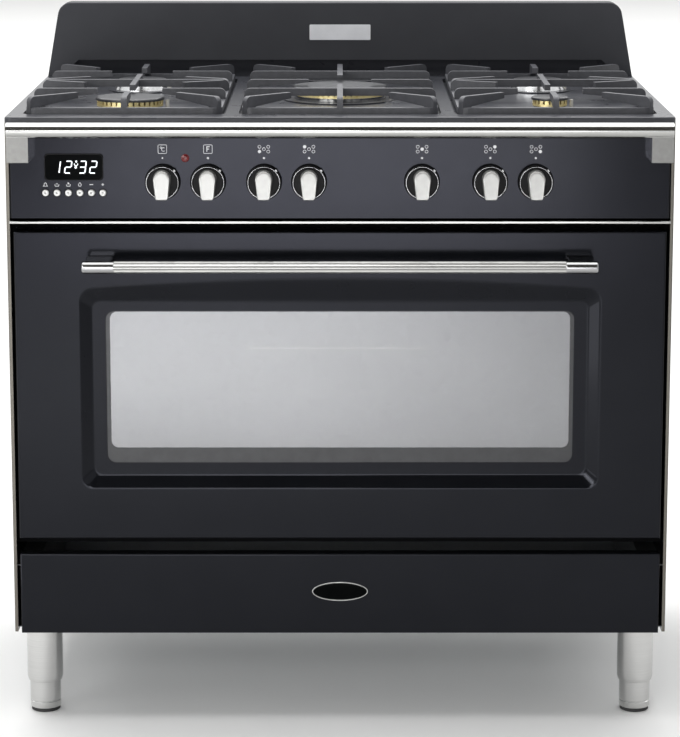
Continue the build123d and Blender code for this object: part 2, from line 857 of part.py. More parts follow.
def make_oven_shelf():
    z = mouth_low + rack_first_rise + shelf_level * rack_pitch + rack_wire + seat_gap + shelf_wire
    half = mouth_half - rack_wall_gap - rack_wire - seat_gap - shelf_wire
    y0, y1 = cavity_front + shelf_front_inset, cavity_rear - shelf_rear_inset
    wires = [rod_y(side * half, y0, y1, z, shelf_wire) for side in sides]
    wires += [rod_x(-half - shelf_wire, half + shelf_wire, y, z, shelf_wire) for y in (y0, y1)]
    pitch = 2 * half / (shelf_bars + 1)
    for k in range(shelf_bars):
        wires.append(rod_y(-half + (k + 1) * pitch, y0, y1, z, shelf_bar))
    parts["oven_shelf"] = [fuse(wires)]


def make_fan():
    y1 = cavity_rear - fan_wall_gap
    y0 = y1 - fan_blade_depth
    disc = rod_y(0, y1 - sheet, y1, mouth_middle, fan_radius)
    hub = rod_y(0, y0, y1, mouth_middle, fan_hub_radius)
    shaft = rod_y(0, y0, cavity_rear + sheet + motor_length / 2, mouth_middle, fan_shaft_radius)
    vane = block(fan_hub_radius - sheet, fan_radius - sheet, y0, y1,
                 mouth_middle - sheet / 2, mouth_middle + sheet / 2)
    centre = Pos(0, 0, mouth_middle)
    vanes = [centre * Rot(0, 360 / fan_blades * k, 0) * centre.inverse() * vane for k in range(fan_blades)]
    parts["oven_fan"] = [fuse([disc, hub, shaft, *vanes])]


def make_fan_cover():
    half_w, half_h = fan_cover_width / 2, fan_cover_height / 2
    y0 = cavity_rear - fan_cover_depth
    shell = block(-half_w, half_w, y0, cavity_rear, mouth_middle - half_h, mouth_middle + half_h)
    shell -= block(-half_w + sheet, half_w - sheet, y0 + sheet, cavity_rear,
                   mouth_middle - half_h + sheet, mouth_middle + half_h - sheet)
    holes = [rod_y(0, y0 - sheet, y0 + 2 * sheet, mouth_middle, fan_cover_hole)]
    for ring in range(1, 4):
        for k in range(6 * ring):
            turn = 2 * math.pi * k / (6 * ring)
            reach = ring * fan_cover_hole * 3
            holes.append(rod_y(reach * math.cos(turn), y0 - sheet, y0 + 2 * sheet,
                               mouth_middle + reach * math.sin(turn), fan_cover_hole))
    parts["fan_cover"] = [shell - holes]


def make_fan_motor():
    y0 = cavity_rear + sheet
    flange = block(-motor_flange / 2, motor_flange / 2, y0, y0 + sheet,
                   mouth_middle - motor_flange / 2, mouth_middle + motor_flange / 2)
    case = rod_y(0, y0, y0 + motor_length, mouth_middle, motor_radius)
    bore = rod_y(0, y0, y0 + motor_length / 2, mouth_middle, fan_shaft_radius + run_gap)
    parts["fan_motor"] = [flange + case - bore]


def make_heating_elements():
    z = mouth_high - grill_drop
    rear = cavity_rear - fan_cover_depth - grill_bend
    tail = cavity_rear + 8 * sheet
    near = cavity_front + grill_front_inset
    half_path = [
        (grill_lead, tail, z),
        (grill_lead, rear, z),
        (grill_half_width, rear, z),
        (grill_half_width, near, z),
        (grill_half_width - grill_lane, near, z),
        (grill_half_width - grill_lane, rear - 3 * grill_bend, z),
    ]
    mirrored = [(-x, y, level) for x, y, level in reversed(half_path)]
    grill = tube(half_path + mirrored, grill_bend, element_radius, 0)
    ring_y = cavity_rear - fan_wall_gap - fan_blade_depth / 2
    ring = Pos(0, ring_y, mouth_middle) * Rot(90, 0, 0) * Torus(ring_element_radius, element_radius)
    lead_z = mouth_middle - ring_element_radius
    leads = [rod_y(side * ring_lead, ring_y, tail, lead_z, element_radius) for side in sides]
    parts["heating_elements"] = [grill, fuse([ring, *leads])]


# Door
def recess_outline(grow, depth_share):
    wall = recess_wall * depth_share
    half = recess_width / 2 - wall + grow
    low = door_bottom + recess_rise + wall - grow
    high = door_bottom + recess_rise + recess_side_height - wall + grow
    arch = recess_arch * (1 - depth_share) + grow / 10 + seat_gap
    corner = recess_corner + (recess_floor_corner - recess_corner) * depth_share + grow
    outline = [
        Line((-half, low), (half, low)),
        Line((half, low), (half, high)),
        ThreePointArc((half, high), (0, high + arch), (-half, high)),
        Line((-half, high), (-half, low)),
    ]
    face = make_face(outline)
    return fillet(face.vertices(), corner)


def recess_body(grow):
    near = front_plane(front - sheet + grow) * recess_outline(grow, -sheet / recess_depth)
    far = front_plane(front + recess_depth + grow) * recess_outline(grow, 1)
    return loft([near, far])


def hinge_notch(side):
    x = side * hinge_x
    half = hinge_arm_thickness / 2 + hinge_side_play
    return block(x - half, x + half, hinge_y - hinge_eye_radius - sheet, front + door_thickness + sheet,
                 door_bottom - sheet, hinge_z + hinge_eye_radius + sheet)


def window_opening(width, height, sill, corner):
    low = door_bottom + recess_rise + recess_wall + sill
    return Pos(0, low + height / 2) * RectangleRounded(width, height, corner)


def make_door():
    notches = [hinge_notch(side) for side in sides]
    pan_back = front + door_pan_depth
    skin = block(-door_half, door_half, front, pan_back, door_bottom, door_top)
    skin -= recess_body(0)
    hollow = block(-door_half + sheet, door_half - sheet, front + sheet, pan_back,
                   door_bottom + sheet, door_top - sheet)
    skin -= hollow - recess_body(sheet)
    glass_face = front + recess_depth + sheet
    window = window_opening(window_width, window_height, window_sill, window_corner)
    skin -= panel(window, front, glass_face + sheet)
    parts["door_panel"] = [skin - notches]

    glass = window_opening(window_width + 2 * glass_overlap, window_height + 2 * glass_overlap,
                           window_sill - glass_overlap, window_corner)
    parts["door_outer_glass"] = [panel(glass, glass_face, glass_face + glass_thickness)]

    back_face = front + door_thickness
    frame = block(-door_half, door_half, pan_back, back_face, door_bottom, door_top)
    frame -= block(-door_half + sheet, door_half - sheet, pan_back, back_face - sheet,
                   door_bottom + sheet, door_top - sheet)
    opening = window_opening(inner_window_width, inner_window_height, inner_window_sill, inner_window_corner)
    frame -= panel(opening, pan_back, back_face + sheet)
    parts["door_inner_frame"] = [frame - notches]

    inner_glass = window_opening(inner_window_width + 2 * inner_glass_overlap,
                                 inner_window_height + 2 * inner_glass_overlap,
                                 inner_window_sill - inner_glass_overlap, inner_window_corner)
    parts["door_inner_glass"] = [panel(inner_glass, back_face - sheet - glass_thickness, back_face - sheet)]


def make_handle():
    y = front - handle_standoff
    z = door_top - handle_drop
    radius = handle_bar_diameter / 2
    half = handle_length / 2
    bar_half = half - handle_end_length
    bar = rod_x(-bar_half, bar_half, y, z, radius) - rod_x(-bar_half, bar_half, y, z, radius - handle_wall)
    ends = []
    for side in sides:
        outer = side * half
        ferrule = rod_x(outer, outer - side * handle_end_length, y, z, radius)
        post = block(outer, outer - side * handle_post_width, y, front, z - radius, z + radius)
        ends.append(ferrule + post)
    parts["door_handle"] = [bar, *ends]


def make_hinges():
    arms, bodies = [], []
    cheek_gap = hinge_arm_thickness / 2 + hinge_side_play
    inner_face = front + door_thickness - sheet
    for side in sides:
        x = side * hinge_x
        half = hinge_arm_thickness / 2
        eye = rod_x(x - half, x + half, hinge_y, hinge_z, hinge_eye_radius)
        bar = block(x - half, x + half, hinge_y, cavity_front + hinge_arm_tail,
                    hinge_z - hinge_arm_height / 2, hinge_z + hinge_arm_height / 2)
        hole = rod_x(x - half, x + half, hinge_y, hinge_z, hinge_pin_radius + run_gap)
        arms.append(eye + bar - hole)
        cheeks = []
        for face in sides:
            near = x + face * cheek_gap
            cheeks.append(block(near, near + face * hinge_cheek, front + hinge_web_inset, inner_face,
                                door_bottom + sheet, door_bottom + hinge_body_height))
        outer_half = cheek_gap + hinge_cheek
        web_y = front + hinge_web_inset
        web = block(x - outer_half, x + outer_half, web_y, web_y + hinge_cheek,
                    hinge_z + hinge_eye_radius + hinge_side_play, door_bottom + hinge_body_height)
        pin = rod_x(x - outer_half, x + outer_half, hinge_y, hinge_z, hinge_pin_radius)
        bodies.append(fuse([*cheeks, web, pin]))
    parts["hinge_arms"] = arms
    parts["hinge_bodies"] = bodies


# Drawer
def make_drawer():
    rear = front + drawer_front_depth
    face = block(-door_half, door_half, front, rear, body_bottom, drawer_top)
    face -= block(-door_half + sheet, door_half - sheet, front + sheet, rear - sheet,
                  body_bottom + sheet, drawer_top - sheet)
    face -= block(-door_half + drawer_lip, door_half - drawer_lip, rear - 2 * sheet, rear,
                  body_bottom + drawer_lip, drawer_top - drawer_lip)
    parts["drawer_front"] = [face]

    half = side_inner - drawer_side_room
    low = body_bottom + drawer_box_floor
    high = low + drawer_box_height
    end = rear + drawer_box_depth
    tray = block(-half, half, rear, end, low, high)
    tray -= block(-half + sheet, half - sheet, rear + sheet, end - sheet, low + sheet, high)
    lip = half + drawer_ledge
    ledges = [block(side * half, side * lip, rear, end, high - sheet, high) for side in sides]
    parts["drawer_box"] = [tray + ledges]

    runners = []
    runner_front = rear + side_hem_depth
    runner_high = high - sheet - seat_gap
    for side in sides:
        rail = block(side * (half + seat_gap), side * side_inner, runner_front, end,
                     runner_high - sheet, runner_high)
        web = block(side * (side_inner - sheet), side * side_inner, runner_front, end,
                    runner_high - runner_height, runner_high)
        runners.append(rail + web)
    parts["drawer_runners"] = runners


# Rail along the top of the control panel
def make_rail():
    y = front - rail_standoff
    z = control_top - rail_drop
    half = control_half
    bar_half = half - rail_end_length
    bar = rod_x(-bar_half, bar_half, y, z, rail_radius)
    parts["front_rail"] = [bar - rod_x(-bar_half, bar_half, y, z, rail_radius - rail_wall)]
    brackets = []
    for side in sides:
        outer = side * half
        cap = rod_x(outer, side * bar_half, y, z, rail_radius)
        inner = outer - side * bracket_width
        leg = block(outer, inner, front - bracket_reach, front, z - bracket_drop, z)
        brackets.append(cap + leg)
    parts["rail_brackets"] = brackets


# Back connections
def make_terminal_box():
    z = body_bottom + terminal_rise
    low, high = z - terminal_height / 2, z + terminal_height / 2
    half = terminal_width / 2
    case = block(terminal_x - half, terminal_x + half, back, back + terminal_depth, low, high)
    case -= block(terminal_x - half + terminal_wall, terminal_x + half - terminal_wall, back,
                  back + terminal_depth - terminal_wall, low + terminal_wall, high - terminal_wall)
    gland_y = back + terminal_depth / 2
    gland = rod_z(terminal_x, gland_y, low - gland_length, low, gland_radius + gland_wall)
    bore = rod_z(terminal_x, gland_y, low - gland_length, low + terminal_wall, gland_radius)
    parts["terminal_box"] = [case + gland - bore]


# Legs
def make_legs():
    sleeves = []
    rows = {"front": front + leg_front_inset, "rear": back - leg_rear_inset}
    for row, y in rows.items():
        for side, hand in zip(sides, ("left", "right")):
            x = side * leg_x
            sleeve = rod_z(x, y, sleeve_low + sleeve_lip, body_bottom, sleeve_radius)
            lip = Cone(sleeve_radius - sleeve_lip_inset, sleeve_radius, sleeve_lip)
            sleeve += Pos(x, y, sleeve_low + sleeve_lip / 2) * lip
            sleeve -= rod_z(x, y, sleeve_low, body_bottom, foot_radius + seat_gap)
            sleeves.append(sleeve)
            foot = rod_z(x, y, foot_pad_height, body_bottom - foot_stem_room, foot_radius)
            pad = rod_z(x, y, 0, foot_pad_height, foot_radius - foot_pad_inset)
            parts[f"{row}_{hand}_foot"] = [foot, pad]
    parts["leg_sleeves"] = sleeves


def make_cooker():
    make_side_panels()
    make_back_panel()
    make_base_panel()
    make_front_frame()
    make_hob_plate()
    make_upstand()
    make_burners()
    make_side_grate("left_grate", -bay_pitch)
    make_centre_grate("centre_grate", 0)
    make_side_grate("right_grate", bay_pitch)
    make_control_panel()
    make_panel_trim()
    make_timer()
    make_indicator_lamp()
    for name, x in {**oven_knobs, **gas_knobs}.items():
        make_knob(name, x)
    make_valves_and_switches()
    make_gas_pipes()
    make_cavity()
    make_gasket()
    make_shelf_racks()
    make_oven_shelf()
    make_fan()
    make_fan_cover()
    make_fan_motor()
    make_heating_elements()
    make_door()
    make_handle()
    make_hinges()
    make_drawer()
    make_rail()
    make_terminal_box()
    make_legs()


make_cooker()
os.makedirs("parts", exist_ok=True)
for node, pieces in parts.items():
    solids = [solid for piece in pieces for solid in piece.solids()]
    export_step(Compound(solids), f"parts/{node}.step")
    print(node, len(solids))
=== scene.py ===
import json
import math

import bmesh
import bpy
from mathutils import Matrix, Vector


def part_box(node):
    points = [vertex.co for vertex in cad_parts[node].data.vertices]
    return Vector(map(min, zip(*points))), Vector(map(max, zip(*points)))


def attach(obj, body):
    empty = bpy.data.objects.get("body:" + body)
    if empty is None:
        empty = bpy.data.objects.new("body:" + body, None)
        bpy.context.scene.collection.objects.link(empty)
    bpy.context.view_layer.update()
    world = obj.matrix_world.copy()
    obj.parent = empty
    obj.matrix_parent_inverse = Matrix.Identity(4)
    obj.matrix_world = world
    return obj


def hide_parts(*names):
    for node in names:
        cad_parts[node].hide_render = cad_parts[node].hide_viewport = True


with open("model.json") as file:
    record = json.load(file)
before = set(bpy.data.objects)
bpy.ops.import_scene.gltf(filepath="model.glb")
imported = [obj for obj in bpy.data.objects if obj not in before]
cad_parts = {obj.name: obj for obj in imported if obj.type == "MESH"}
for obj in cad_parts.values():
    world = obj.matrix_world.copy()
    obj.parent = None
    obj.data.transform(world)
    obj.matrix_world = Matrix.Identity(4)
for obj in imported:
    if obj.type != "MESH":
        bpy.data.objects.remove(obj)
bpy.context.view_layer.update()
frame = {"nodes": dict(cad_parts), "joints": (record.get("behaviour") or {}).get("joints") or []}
nodes = frame["nodes"]
joints = {joint["name"]: joint for joint in frame["joints"]}
scene = bpy.context.scene
scene.view_settings.view_transform = "Standard"
mm = 0.001
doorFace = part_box("door_panel")[0].y / mm  # front plane of door, drawer and control panel
print("frame loaded:", len(nodes), "nodes")


def linear(hexColour):
    channels = [int(hexColour[i:i + 2], 16) / 255 for i in (1, 3, 5)]
    return tuple(c / 12.92 if c <= 0.04045 else ((c + 0.055) / 1.055) ** 2.4 for c in channels) + (1.0,)


def addNode(tree, kind, settings=None, links=None):
    node = tree.nodes.new(kind)
    for key, value in (settings or {}).items():
        if isinstance(key, int) or key in node.inputs:
            node.inputs[key].default_value = value
        else:
            setattr(node, key, value)
    for key, socket in (links or {}).items():
        tree.links.new(socket, node.inputs[key])
    return node


# A finish is one shader and up to three patterns: tone colours it, gloss varies its roughness and relief is
# its grain. A pattern's size is in mm, and "along" draws it out along x, y and z.
def makeFinish(name, sockets, tone=None, gloss=None, relief=None):
    material = bpy.data.materials.new(name)
    material.use_nodes = True
    tree = material.node_tree
    shader = tree.nodes["Principled BSDF"]
    for key, value in sockets.items():
        shader.inputs[key].default_value = linear(value) if isinstance(value, str) else value
    place = addNode(tree, "ShaderNodeTexCoord").outputs["Object"]
    drawn = {}
    for job, spec in (("tone", tone), ("gloss", gloss), ("relief", relief)):
        if spec:
            scale = [share / (spec["size"] * mm) for share in spec.get("along", (1, 1, 1))]
            spread = addNode(tree, "ShaderNodeMapping", {"Scale": scale}, {"Vector": place})
            texture = addNode(tree, "ShaderNodeTex" + spec.get("kind", "Noise"),
                              spec.get("settings", {"Scale": 1.0, "Detail": 3.0}),
                              {"Vector": spread.outputs["Vector"]})
            drawn[job] = texture.outputs[spec.get("out", 0)]
    if tone:
        ramp = addNode(tree, "ShaderNodeValToRGB", {}, {"Fac": drawn["tone"]})
        stops = tone.get("stops", (0.3, 0.7))
        for element, stop, colour in zip(ramp.color_ramp.elements, stops, tone["colours"]):
            element.position, element.color = stop, linear(colour)
        tree.links.new(ramp.outputs["Color"], shader.inputs["Base Color"])
    if gloss:
        band = addNode(tree, "ShaderNodeMapRange", {"To Min": gloss["from"], "To Max": gloss["to"]},
                       {"Value": drawn["gloss"]})
        tree.links.new(band.outputs["Result"], shader.inputs["Roughness"])
    if relief:
        bump = addNode(tree, "ShaderNodeBump",
                       {"Strength": relief["strength"], "Distance": relief["height"] * mm},
                       {"Height": drawn["relief"]})
        tree.links.new(bump.outputs["Normal"], shader.inputs["Normal"])
    return material


# Straight bands, one to each pattern size, and cells of about that size.
waveBands = {"wave_type": "BANDS", "bands_direction": "Z", "Scale": 0.314, "Distortion": 0.0}
cells = {"kind": "Voronoi", "settings": {"Scale": 1.0}}
finishSpecs = {
    # Vitreous enamel, sprayed on pressed steel and fired: near black, glassy, rippled like orange peel.
    "vitreousEnamel": dict(
        sockets={"IOR": 1.52, "Specular IOR Level": 0.17, "Specular Tint": "#dfe2f0"},
        tone={"size": 60, "colours": ("#0b0c0f", "#0e0f12")},
        gloss={"size": 25, "from": 0.1, "to": 0.15},
        relief={"size": 6.0, "strength": 0.012, "height": 0.03}),
    # Ground coat enamel of the upstand: dark grey, fired matt, so it takes light evenly.
    "satinEnamel": dict(
        sockets={"IOR": 1.52, "Specular IOR Level": 0.12},
        tone={"size": 60, "colours": ("#3a3b3f", "#3e3f43")},
        gloss={"size": 25, "from": 0.5, "to": 0.58},
        relief={"size": 6.0, "strength": 0.02, "height": 0.03}),
    # The same matt coat on the flue lip, painted paler: painted light standing in for the light that the
    # upstand's overhang keeps off the lip.
    "paintedLightLipEnamel": dict(
        sockets={"IOR": 1.52, "Specular IOR Level": 0.12},
        tone={"size": 60, "colours": ("#808186", "#88898e")},
        gloss={"size": 25, "from": 0.5, "to": 0.58}),
    # Anodised aluminium of the upstand's plate: pale, even, softly lit.
    "anodisedPlate": dict(
        sockets={"Metallic": 0.15, "Specular IOR Level": 0.2},
        tone={"size": 30, "colours": ("#d6d7da", "#e0e1e4")},
        gloss={"size": 10, "from": 0.5, "to": 0.6}),
    # Black ground coat inside the joints round door and drawer: partly its own black coat, partly painted
    # shade, made darker and duller so that it takes nearly all light like the shadow in the joints.
    "blackGroundCoat": dict(
        sockets={"IOR": 1.5, "Specular IOR Level": 0.04},
        tone={"size": 30, "colours": ("#060607", "#08080a")},
        gloss={"size": 15, "from": 0.5, "to": 0.6}),
    # Folded edge of the side sheets, ground bare: dull warm grey with upright grinding lines.
    "groundSheetEdge": dict(
        sockets={"Metallic": 1.0},
        tone={"size": 2, "along": (1, 1, 0.01), "colours": ("#5c5954", "#66635d")},
        gloss={"size": 2, "along": (1, 1, 0.01), "from": 0.42, "to": 0.5}),
    # Enamel of the deep-drawn hob: the same glaze, laid thicker and a little duller.
    "hobEnamel": dict(
        sockets={"IOR": 1.52, "Specular IOR Level": 0.3},
        tone={"size": 40, "colours": ("#3a3b40", "#3f4045")},
        gloss={"size": 30, "from": 0.26, "to": 0.3},
        relief={"size": 9.0, "strength": 0.012, "height": 0.03}),
    # Oven enamel, sprayed with pale flecks (drawn at 2 mm to show): dark with a grey speckle.
    "fleckedOvenEnamel": dict(
        sockets={"IOR": 1.52},
        tone={**cells, "size": 2.0, "stops": (0.1, 0.2), "colours": ("#4c4e52", "#1b1c1f")},
        gloss={"size": 12, "from": 0.2, "to": 0.34},
        relief={"size": 2.5, "strength": 0.1, "height": 0.05}),
    # Hot-dip galvanised sheet: grey metal with 10 mm crystal spangle in slightly different tones.
    "galvanisedSheet": dict(
        sockets={"Metallic": 1.0},
        tone={**cells, "size": 10, "out": "Color", "stops": (0.1, 0.9), "colours": ("#9ea1a4", "#aaadaf")},
        gloss={**cells, "size": 10, "out": "Color", "from": 0.38, "to": 0.46},
        relief={"size": 4, "strength": 0.06, "height": 0.03}),
    # Polished stainless of rail, trim, wires and burner cups: near mirror, hair-fine lengthwise polish.
    "polishedStainless": dict(
        sockets={"Metallic": 1.0},
        tone={"size": 90, "colours": ("#a2a2a0", "#aaaaa8")},
        gloss={"size": 4, "along": (0.01, 1, 1), "from": 0.08, "to": 0.12}),
    # Satin stainless, belt-ground along its length (lines drawn at 2 mm to show): soft streaked shine.
    "satinStainless": dict(
        sockets={"Metallic": 1.0},
        tone={"size": 2, "along": (0.01, 1, 1), "colours": ("#98989a", "#a0a09f")},
        gloss={"size": 2, "along": (0.01, 1, 1), "from": 0.12, "to": 0.16}),
    # Satin stainless leg tube, turned, so the fine lines run round it.
    "turnedStainless": dict(
        sockets={"Metallic": 1.0},
        tone={"size": 0.8, "along": (0.01, 0.01, 1), "colours": ("#bebebd", "#c8c8c7")},
        gloss={"size": 0.8, "along": (0.01, 0.01, 1), "from": 0.12, "to": 0.18},
        relief={"size": 0.6, "along": (0.01, 0.01, 1), "strength": 0.03, "height": 0.01}),
    # Zinc, die-cast and bead-blasted: even mid-grey metal with a fine soft grain.
    "blastedZinc": dict(
        sockets={"Metallic": 1.0},
        tone={"size": 6, "colours": ("#6e6e6c", "#767674")},
        gloss={"size": 3, "from": 0.36, "to": 0.46},
        relief={"size": 0.6, "strength": 0.1, "height": 0.02}),
    # Cast iron under matt enamel: dark grey, fine sandy skin from the mould.
    "mattEnamelledIron": dict(
        sockets={"IOR": 1.5},
        tone={"size": 9, "colours": ("#3f4045", "#494a4f")},
        gloss={"size": 5, "from": 0.42, "to": 0.56},
        relief={"size": 1.1, "strength": 0.2, "height": 0.05}),
    # Burner cap, pressed steel in semi-gloss enamel: smooth dark grey with a soft shine.
    "capEnamel": dict(
        sockets={"IOR": 1.5},
        tone={"size": 15, "colours": ("#3a3b3e", "#434447")},
        gloss={"size": 8, "from": 0.26, "to": 0.36},
        relief={"size": 1.5, "strength": 0.1, "height": 0.04}),
    # Aluminium, die-cast and machined: pale metal, fine turned lines 0.5 mm apart.
    "machinedAluminium": dict(
        sockets={"Metallic": 1.0},
        tone={"size": 6, "colours": ("#c9cacb", "#dedfe0")},
        gloss={"size": 3, "from": 0.16, "to": 0.28},
        relief={"kind": "Wave", "size": 0.5, "settings": waveBands, "strength": 0.02, "height": 0.02}),
    # Brass, turned: warm yellow metal, fine turned lines, a little duller in patches.
    "turnedBrass": dict(
        sockets={"Metallic": 1.0},
        tone={"size": 7, "colours": ("#f0dc98", "#faecb8")},
        gloss={"size": 5, "from": 0.4, "to": 0.52},
        relief={"kind": "Wave", "size": 0.5, "settings": waveBands, "strength": 0.1, "height": 0.02}),
    # Steel gas pipe, drawn and zinc plated: dull grey with cloudy patches.
    "zincPlatedPipe": dict(
        sockets={"Metallic": 1.0},
        tone={"size": 14, "colours": ("#8f9192", "#a9abac")},
        gloss={"size": 6, "from": 0.34, "to": 0.5},
        relief={"size": 1.5, "strength": 0.08, "height": 0.02}),
    # Glazed ceramic of the spark plugs: off-white, glassy.
    "glazedCeramic": dict(
        sockets={"IOR": 1.55},
        tone={"size": 5, "colours": ("#e3e0d6", "#f0eee6")},
        gloss={"size": 4, "from": 0.1, "to": 0.2},
        relief={"size": 2, "strength": 0.05, "height": 0.02}),
    # Moulded black nylon of the knob skirts: spark-eroded mould grain, drawn at 0.5 mm.
    "mouldedBlackNylon": dict(
        sockets={"IOR": 1.53, "Specular IOR Level": 0.08},
        tone={"size": 6, "colours": ("#0b0b0c", "#111112")},
        gloss={"size": 4, "from": 0.3, "to": 0.42},
        relief={"size": 0.5, "strength": 0.12, "height": 0.02}),
    # Satin chrome on the moulded levers: bright, softly blurred metal.
    "satinChrome": dict(
        sockets={"Metallic": 1.0},
        tone={"size": 8, "colours": ("#a4a4a2", "#ababa9")},
        gloss={"size": 3, "from": 0.42, "to": 0.5},
        relief={"size": 0.4, "strength": 0.06, "height": 0.01}),
    # Bright chrome of the thin rings: a crisp mirror.
    "brightChrome": dict(
        sockets={"Metallic": 1.0},
        tone={"size": 10, "colours": ("#a6a7a8", "#b0b0b0")},
        gloss={"size": 5, "from": 0.05, "to": 0.12},
        relief={"size": 3, "strength": 0.02, "height": 0.01}),
    # White ABS, moulded with a fine satin grain.
    "mouldedWhiteAbs": dict(
        sockets={"IOR": 1.53, "Subsurface Weight": 0.08, "Subsurface Radius": (0.002, 0.002, 0.002)},
        tone={"size": 4, "colours": ("#dededc", "#e6e6e4")},
        gloss={"size": 2, "from": 0.24, "to": 0.36},
        relief={"size": 0.4, "strength": 0.06, "height": 0.01}),
    # Smoked acrylic of the clock window: black and mirror smooth.
    "smokedAcrylic": dict(
        sockets={"IOR": 1.49, "Specular IOR Level": 0.012},
        tone={"size": 20, "colours": ("#040505", "#070808")},
        gloss={"size": 10, "from": 0.08, "to": 0.14},
        relief={"size": 8, "strength": 0.02, "height": 0.01}),
    # Fluorescent clock digits: cool white light, a little uneven.
    "litDigits": dict(
        sockets={"Emission Color": "#f4f8ff", "Emission Strength": 0.95, "Roughness": 0.4},
        tone={"size": 2, "colours": ("#dfe4ea", "#f2f5f8")}),
    # Red polycarbonate lamp lens, moulded: clear deep red with a light behind.
    "redLens": dict(
        sockets={"IOR": 1.58, "Emission Color": "#b0140e", "Emission Strength": 0.03,
                 "Specular IOR Level": 0.3},
        tone={"size": 3, "colours": ("#4a0508", "#6a0a0e")},
        gloss={"size": 2, "from": 0.1, "to": 0.2},
        relief={"size": 0.9, "strength": 0.12, "height": 0.02}),
    # Moulded black polyamide of switches and terminal box, matt mould grain.
    "mouldedSwitchBlack": dict(
        sockets={"IOR": 1.53},
        tone={"size": 8, "colours": ("#19191a", "#202021")},
        gloss={"size": 5, "from": 0.42, "to": 0.56},
        relief={"size": 0.7, "strength": 0.2, "height": 0.03}),
    # Float glass with a thin mirror coat, as on oven doors: shows the room and dimly the oven behind.
    "coatedOvenGlass": dict(
        sockets={"IOR": 1.52, "Metallic": 0.38, "Transmission Weight": 1.0},
        tone={"size": 200, "colours": ("#9fa0a3", "#a4a5a8")},
        gloss={"size": 120, "from": 0.03, "to": 0.06}),
    # Clear float glass of the inner pane: nearly unseen, faintly green.
    "clearFloatGlass": dict(
        sockets={"IOR": 1.52, "Transmission Weight": 1.0},
        tone={"size": 200, "colours": ("#f0f4f2", "#f6f8f7")},
        gloss={"size": 120, "from": 0.0, "to": 0.02}),
    # Extruded silicone door seal: soft black, dusty matt.
    "siliconeSeal": dict(
        sockets={"IOR": 1.42},
        tone={"size": 10, "colours": ("#151516", "#1d1d1e")},
        gloss={"size": 5, "from": 0.55, "to": 0.7},
        relief={"size": 1.2, "strength": 0.2, "height": 0.04}),
    # Moulded rubber foot pad: matt black.
    "mouldedRubber": dict(
        sockets={"IOR": 1.5},
        tone={"size": 6, "colours": ("#111112", "#1a1a1b")},
        gloss={"size": 4, "from": 0.6, "to": 0.75},
        relief={"size": 0.8, "strength": 0.25, "height": 0.05}),
    # Ceramic frit printed round the door glass: dark grey, baked smooth.
    "bakedFrit": dict(
        sockets={"IOR": 1.52, "Specular IOR Level": 0.4},
        tone={"size": 25, "colours": ("#26272a", "#2d2e31")},
        gloss={"size": 12, "from": 0.1, "to": 0.18}),
    # Screen-printed ceramic ink: flat off-white, slightly uneven in cover.
    "printedInk": dict(
        sockets={"IOR": 1.5},
        tone={"size": 1.5, "stops": (0.25, 0.7), "colours": ("#cfcfd1", "#e2e2e4")},
        gloss={"size": 2, "from": 0.4, "to": 0.55}),
}
finishes = {name: makeFinish(name, **spec) for name, spec in finishSpecs.items()}
print("finishes made:", len(finishes))

seam = 2e-6  # metres; points of a node's mesh this close are one
near = 0.1  # mm; an edge this close to a face lies on it
evenAngle = 0.8  # degrees; faces this even are joined
foldAngle = 60  # degrees; edges folded further than this can be rounded
inkHigh = 0.12  # mm; print and lit digits stand this proud
quarters = ((1, 1, 0), (-1, 1, 90), (-1, -1, 180), (1, -1, 270))  # a corner's signs of x and z, start angle


# Turns (radius, reach) pairs in mm about an axis through centre; flute is a count and a depth.
def addLathe(bm, profile, centre, axis, finish, steps, flute=None):
    along = Vector(axis)
    side = Vector((0, 0, 1)) if abs(along.z) < 0.5 else Vector((1, 0, 0))
    up = along.cross(side)
    rings = []
    for radius, reach in profile:
        middle = (Vector(centre) + along * reach) * mm
        if radius == 0:
            rings.append([bm.verts.new(middle)])
            continue
        ring = []
        for step in range(steps):
            angle = 2 * math.pi * step / steps
            size = radius - (flute[1] * (0.5 - 0.5 * math.cos(flute[0] * angle)) if flute else 0)
            ring.append(bm.verts.new(middle + (side * math.cos(angle) + up * math.sin(angle)) * size * mm))
        rings.append(ring)
    for first, second in zip(rings, rings[1:]):
        for k in range(max(len(first), len(second))):
            corners = [first[k % len(first)], first[(k + 1) % len(first)],
                       second[(k + 1) % len(second)], second[k % len(second)]]
            face = bm.faces.new(list(dict.fromkeys(corners)))
            face.material_index = finish


# Stacks an outline of (x, z) points in mm at levels of (y, inset) and closes both ends; slope() gives a
# point's y from its height and its level.
def addPad(bm, outline, levels, finish=0, slope=None):
    midX = sum(x for x, z in outline) / len(outline)
    midZ = sum(z for x, z in outline) / len(outline)
    rings = []
    for y, inset in levels:
        ring = []
        for x, z in outline:
            reach = math.hypot(x - midX, z - midZ)
            share = max(0.02, 1 - inset / reach)
            point = (midX + (x - midX) * share, midZ + (z - midZ) * share)
            depth = slope(point[1], y) if slope else y
            ring.append(bm.verts.new(Vector((point[0], depth, point[1])) * mm))
        rings.append(ring)
    for first, second in zip(rings, rings[1:]):
        for k in range(len(outline)):
            n = (k + 1) % len(outline)
            bm.faces.new((first[k], first[n], second[n], second[k])).material_index = finish
    for ring in (rings[0], rings[-1]):
        bm.faces.new(ring).material_index = finish


